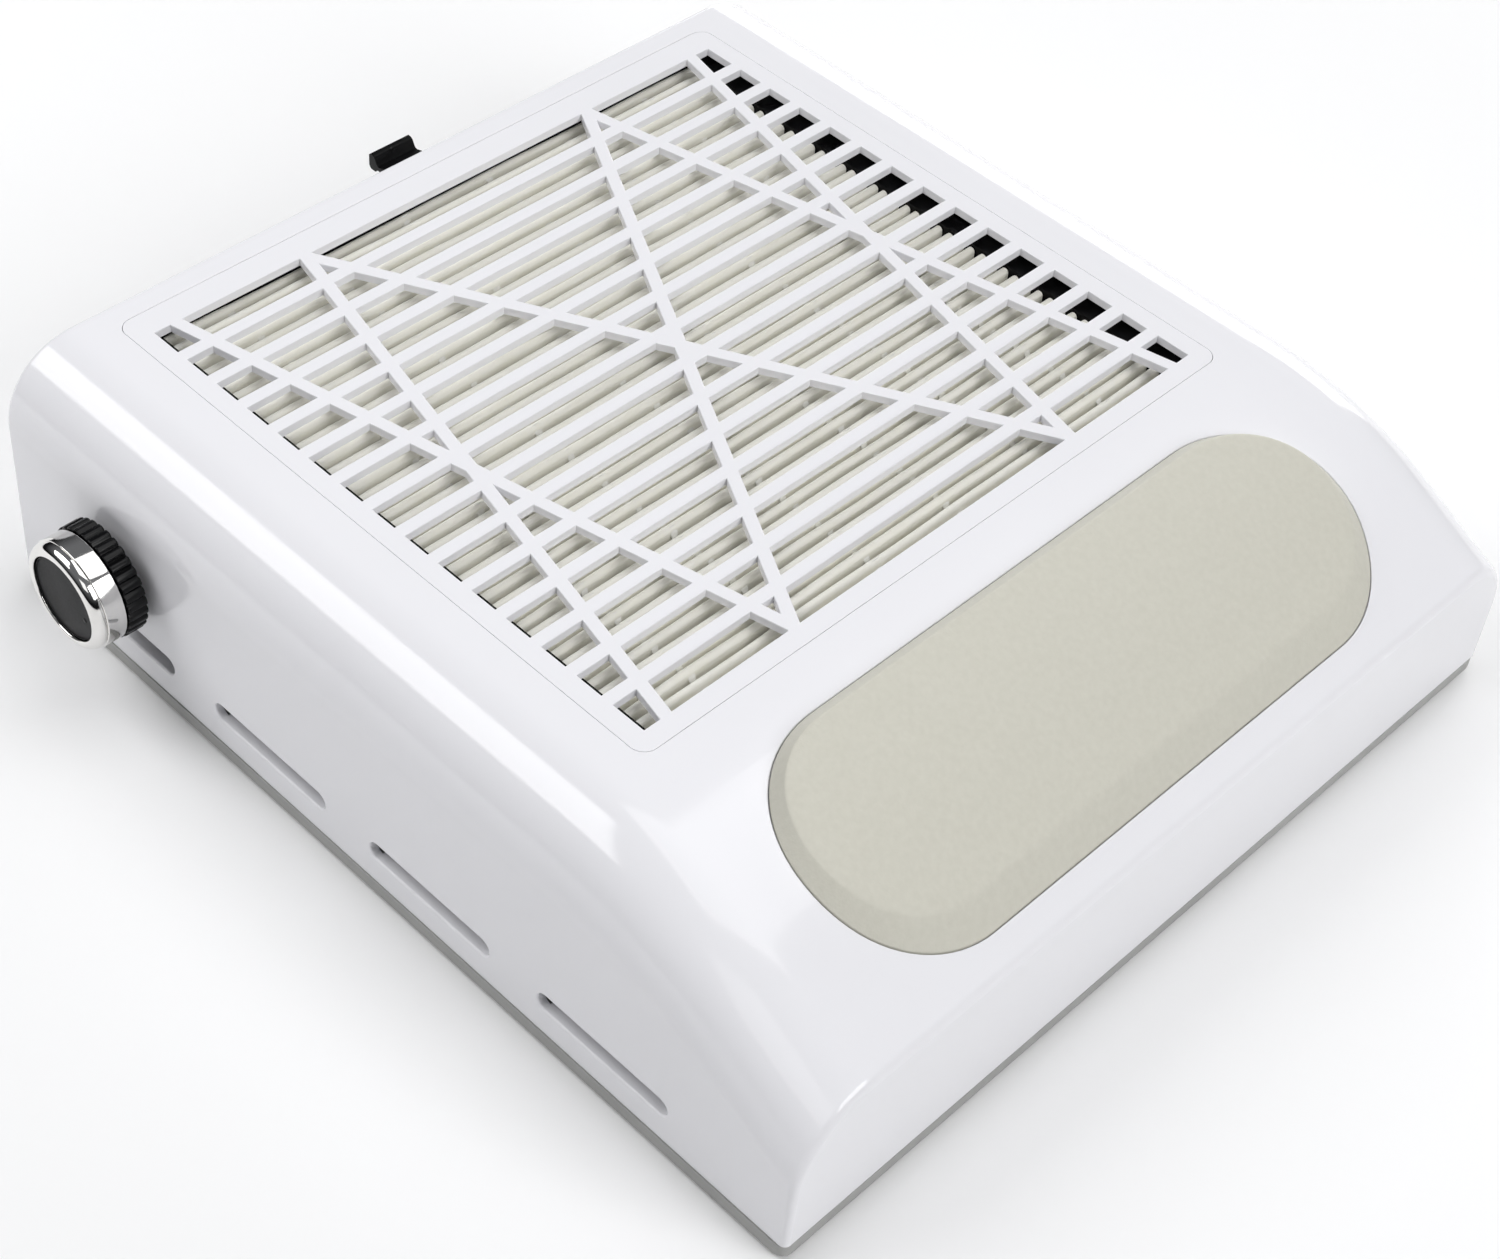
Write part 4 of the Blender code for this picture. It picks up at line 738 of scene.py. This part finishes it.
def make_drawer(mats):
    """The drawer's frame with its barred floor, and the pull tab on its back."""
    outline = rounded(DRAWER_LOW.x, DRAWER_HIGH.x, DRAWER_LOW.y, BACK - GAP, 1.2 * MM, steps=4)
    drawer = loft("drawer_frame", upright(outline, DRAWER_LOW.z, DRAWER_TOP))
    room = rectangle(MEDIA_LOW.x - GAP, MEDIA_HIGH.x + GAP, MEDIA_LOW.y - GAP, MEDIA_HIGH.y + GAP)
    carve(drawer, loft("room", upright(room, MEDIA_LOW.z - GAP, TOP)))
    bays = 4
    bar = 4.0 * MM
    rim = 3.0 * MM
    low = MEDIA_LOW.y + rim
    pitch = (MEDIA_HIGH.y - rim - low + bar) / bays
    windows = []
    for i in range(bays):
        start = low + pitch * i
        window = rounded(MEDIA_LOW.x + rim, MEDIA_HIGH.x - rim, start, start + pitch - bar, 1.5 * MM, steps=4)
        windows.append(upright(window, DRAWER_LOW.z - BEYOND, MEDIA_LOW.z + 1 * MM))
    carve(drawer, lofts("windows", windows))
    tip = DRAWER_HIGH.y / MM
    root = BACK / MM - 2.3
    profile = [
        (root, 65.4), (root, 67.9), (tip - 6.0, 67.2), (tip - 4.2, 66.6), (tip - 3.5, 66.7),
        (tip - 3.0, 67.3), (tip - 2.4, 68.6), (tip - 1.9, 69.1), (tip - 1.4, 69.3), (tip - 0.5, 69.3),
        (tip, 68.8), (tip, 65.6), (tip - 0.3, 64.9), (tip - 0.9, 64.5), (tip - 2.4, 64.5),
        (tip - 2.8, 64.7), (tip - 3.2, 65.4),
    ]
    sides = (TAB_LEFT, TAB_RIGHT)
    tab = loft("pull_tab", [[(x, y * MM, z * MM) for y, z in profile] for x in sides])
    pip = [circle(0.55 * MM * size, 12, 0.4 * MM, (tip - 1.9) * MM) for size in (1.0, 1.0, 0.8, 0.4)]
    lifts = (68.0, 69.0, 69.2, 69.3)
    loops = [[(x, y, z * MM) for x, y in loop] for loop, z in zip(pip, lifts)]
    carve(tab, loft("moulding_pip", loops), "UNION")
    settle(tab)
    carve(drawer, tab, "UNION")
    edges = drawer.modifiers.new("edges", "BEVEL")
    edges.width = 0.3 * MM
    edges.segments = 2
    edges.limit_method = "ANGLE"
    edges.angle_limit = math.radians(40.0)
    place(drawer, mats["frame_black"], "filter_cartridge", ["filter_frame"])


# ---------------------------------------------------------------- speed knob

def knob_frame():
    """Turns a shape drawn about Z so that it points out of the left side on the knob's axis."""
    return Matrix.Translation(KNOB_AXIS) @ Matrix.Rotation(-math.pi / 2, 4, "Y")


def make_knob(mats):
    """The knob's ribbed grip, plated ring, cap and pointer dot, drawn about Z from its foot up."""
    turn = knob_frame()
    samples = 12
    loops = []
    for z, inset in ((0.0, 0.45), (0.13, 0.13), (0.45, 0.0), (5.15, 0.0), (5.47, 0.13), (5.6, 0.45)):
        loop = []
        for i in range(SKIRT_RIBS * samples):
            angle = math.tau * i / (SKIRT_RIBS * samples)
            groove = (0.5 + 0.5 * math.cos(SKIRT_RIBS * angle)) ** 3
            radius = SKIRT_RADIUS - inset * MM - 0.75 * MM * groove
            loop.append((radius * math.cos(angle), radius * math.sin(angle), z * MM))
        loops.append(loop)
    skirt = loft("knob_grip", loops)
    core_top = KNOB_LENGTH - 2.3 * MM
    carve(skirt, loft("core", upright(circle(CORE_RADIUS, 64), 1 * MM, core_top)), "UNION")
    carve(skirt, loft("hollow", upright(circle(CORE_RADIUS - 2 * MM, 64), -BEYOND, 3.9 * MM)))
    carve(skirt, loft("socket", upright(circle(3.3 * MM), -BEYOND, 10.5 * MM)))
    place(skirt, mats["knob_black"], "speed_knob", ["knob_skirt"], matrix=turn)

    start = SKIRT_LENGTH + GAP
    inside = CORE_RADIUS + GAP
    lip = CAP_RADIUS + GAP
    seat = core_top + GAP
    side_top = KNOB_LENGTH - 2.9 * MM
    shoulder = RING_RADIUS - 0.28 * MM
    flat = 12.3 * MM
    profile = [(inside, start), (RING_RADIUS - 0.35 * MM, start), (RING_RADIUS - 0.1 * MM, start + 0.1 * MM)]
    profile += [(RING_RADIUS, start + 0.35 * MM), (RING_RADIUS, side_top - 0.3 * MM)]
    profile += [(RING_RADIUS - 0.12 * MM, side_top - 0.12 * MM), (RING_RADIUS - 0.5 * MM, side_top)]
    profile += [(RING_RADIUS - 0.5 * MM, side_top + 0.12 * MM), (shoulder, side_top + 0.16 * MM)]
    for i in range(1, 13):
        angle = math.pi / 2 * i / 12
        profile.append((flat + (shoulder - flat) * math.cos(angle),
                        side_top + 0.16 * MM + (KNOB_LENGTH - side_top - 0.16 * MM) * math.sin(angle)))
    profile += [(lip + 0.3 * MM, KNOB_LENGTH - 0.05 * MM), (lip + 0.08 * MM, KNOB_LENGTH - 0.2 * MM)]
    profile += [(lip, KNOB_LENGTH - 0.45 * MM), (lip, seat), (inside, seat)]
    ring = turned("knob_bezel", profile, 128)
    place(ring, mats["knob_chrome"], "speed_knob", ["knob_ring"], crease=50.0, matrix=turn)

    face = KNOB_LENGTH - 0.6 * MM
    loops = [[(x, y, seat) for x, y in circle(CAP_RADIUS, 96)]]
    for inset, down in round_steps(0.3 * MM):
        loops.append([(x, y, face - down) for x, y in circle(CAP_RADIUS - inset, 96)])
    cap = loft("knob_face", loops)
    dot_x = POINTER_REACH * math.cos(POINTER_ANGLE)
    dot_y = -POINTER_REACH * math.sin(POINTER_ANGLE)
    dot = circle(0.8 * MM, 24, dot_x, dot_y)
    carve(cap, loft("pointer_dot", upright(dot, KNOB_LENGTH - 1 * MM, KNOB_LENGTH + BEYOND)))
    place(cap, mats["cap_grey"], "speed_knob", ["knob_cap"], matrix=turn)
    inner = 0.72 * MM
    loops = []
    for radius, z in ((inner, 0.02), (inner, 0.12), (inner * 0.8, 0.2), (inner * 0.4, 0.24)):
        dot = circle(radius, 24, dot_x, dot_y)
        loops.append([(x, y, KNOB_LENGTH - 1 * MM + z * MM) for x, y in dot])
    paint = loft("knob_pointer", loops)
    place(paint, mats["frame_black"], "speed_knob", matrix=turn)


# ---------------------------------------------------------------- carried-over CAD nodes

WELD_DISTANCE = 0.002 * MM
WIDEST_BEVEL = 0.3 * MM


def refine(node, mats, width):
    """Gives a CAD node rounded edges and even shading by modifiers, and its finish."""
    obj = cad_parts[node]
    mesh = obj.data
    finish = mats[mesh.materials[0].name.split(".")[0]]
    mesh.materials.clear()
    mesh.materials.append(finish)
    if "custom_normal" in mesh.attributes:
        mesh.attributes.remove(mesh.attributes["custom_normal"])
    mesh.shade_smooth()
    weld = obj.modifiers.new("weld", "WELD")
    weld.merge_threshold = WELD_DISTANCE
    flats = obj.modifiers.new("flats", "DECIMATE")
    flats.decimate_type = "DISSOLVE"
    flats.angle_limit = math.radians(0.5)
    edges = obj.modifiers.new("edges", "BEVEL")
    edges.width = width
    edges.segments = 2
    edges.limit_method = "ANGLE"
    edges.angle_limit = math.radians(38.0)
    obj.modifiers.new("even_shading", "WEIGHTED_NORMAL")


def refine_rest(mats):
    """Every CAD node that still shows gets its finish."""
    for name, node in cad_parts.items():
        if node.hide_render:
            continue
        size = min(high - low for low, high in zip(*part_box(name)))
        refine(name, mats, min(WIDEST_BEVEL, size * 0.06))


# ---------------------------------------------------------------- stage

def make_floor():
    corners = [(x, y, 0.0) for x, y in rectangle(-FLOOR_HALF, FLOOR_HALF, -FLOOR_HALF, FLOOR_HALF)]
    floor = shell("floor", corners, [(0, 1, 2, 3)])
    skin = Finish("floor_paper", (0.93, 0.93, 0.93), 0.8)
    skin.tint(skin.noise(3.0), (0.92, 0.92, 0.92), (0.94, 0.94, 0.94))
    floor.data.materials.append(skin.material)


def make_lights():
    """Soft boxes as (name, place, point aimed at, width, height, power), all from the fan's axis."""
    scene = bpy.context.scene
    scene.view_settings.view_transform = "Standard"
    world = bpy.data.worlds.new("studio")
    scene.world = world
    world.use_nodes = True
    tree = world.node_tree
    height = tree.nodes.new("ShaderNodeSeparateXYZ")
    ramp = tree.nodes.new("ShaderNodeValToRGB")
    tree.links.new(tree.nodes.new("ShaderNodeTexCoord").outputs["Generated"], height.inputs[0])
    tree.links.new(height.outputs["Z"], ramp.inputs["Fac"])
    tree.links.new(ramp.outputs["Color"], tree.nodes["Background"].inputs["Color"])
    ramp.color_ramp.elements[0].position = 0.15
    ramp.color_ramp.elements[0].color = (0.04, 0.04, 0.045, 1.0)
    ramp.color_ramp.elements[1].position = 0.7
    ramp.color_ramp.elements[1].color = (0.93, 0.95, 1.0, 1.0)
    tree.nodes["Background"].inputs["Strength"].default_value = 0.175
    lights = (
        ("back_left_box", (-0.76, 1.0, 1.2), (-0.76, 1.0, 0.0), 0.89, 1.4, 17.8),
        ("front_box", (0.1, -1.35, 0.95), (0.0, 0.0, 0.0), 1.0, 0.8, 11.2),
        ("top_box", (0.35, -0.2, 1.5), (0.0, 0.0, 0.0), 1.1, 1.1, 7.3),
        ("right_back_box", (1.4, 0.65, 0.4), (0.1, 0.0, 0.0), 1.4, 0.7, 13.0),
        ("camera_side_box", (-0.9, -0.8, 1.1), (0.0, 0.0, 0.0), 0.6, 0.6, 1.25),
    )
    for name, place, aim, width, height, power in lights:
        lamp = bpy.data.lights.new(name, "AREA")
        lamp.shape = "RECTANGLE"
        lamp.size = width
        lamp.size_y = height
        lamp.energy = power
        obj = bpy.data.objects.new(name, lamp)
        obj.location = AXIS + Vector(place)
        obj.rotation_euler = (Vector(aim) - Vector(place)).to_track_quat("-Z", "Y").to_euler()
        scene.collection.objects.link(obj)


def make_camera():
    lens = bpy.data.cameras.new("camera")
    lens.lens = CAMERA_LENS
    lens.sensor_width = 36.0
    camera = bpy.data.objects.new("camera", lens)
    camera.location = AXIS + CAMERA_PLACE
    camera.rotation_euler = [math.radians(turn) for turn in CAMERA_TURN]
    bpy.context.scene.collection.objects.link(camera)
    bpy.context.scene.camera = camera


def main():
    mats = make_materials()
    make_housing(mats)
    make_grille(mats)
    make_hand_rest(mats)
    make_media(mats)
    make_drawer(mats)
    make_knob(mats)
    refine_rest(mats)
    make_floor()
    make_lights()
    make_camera()


main()
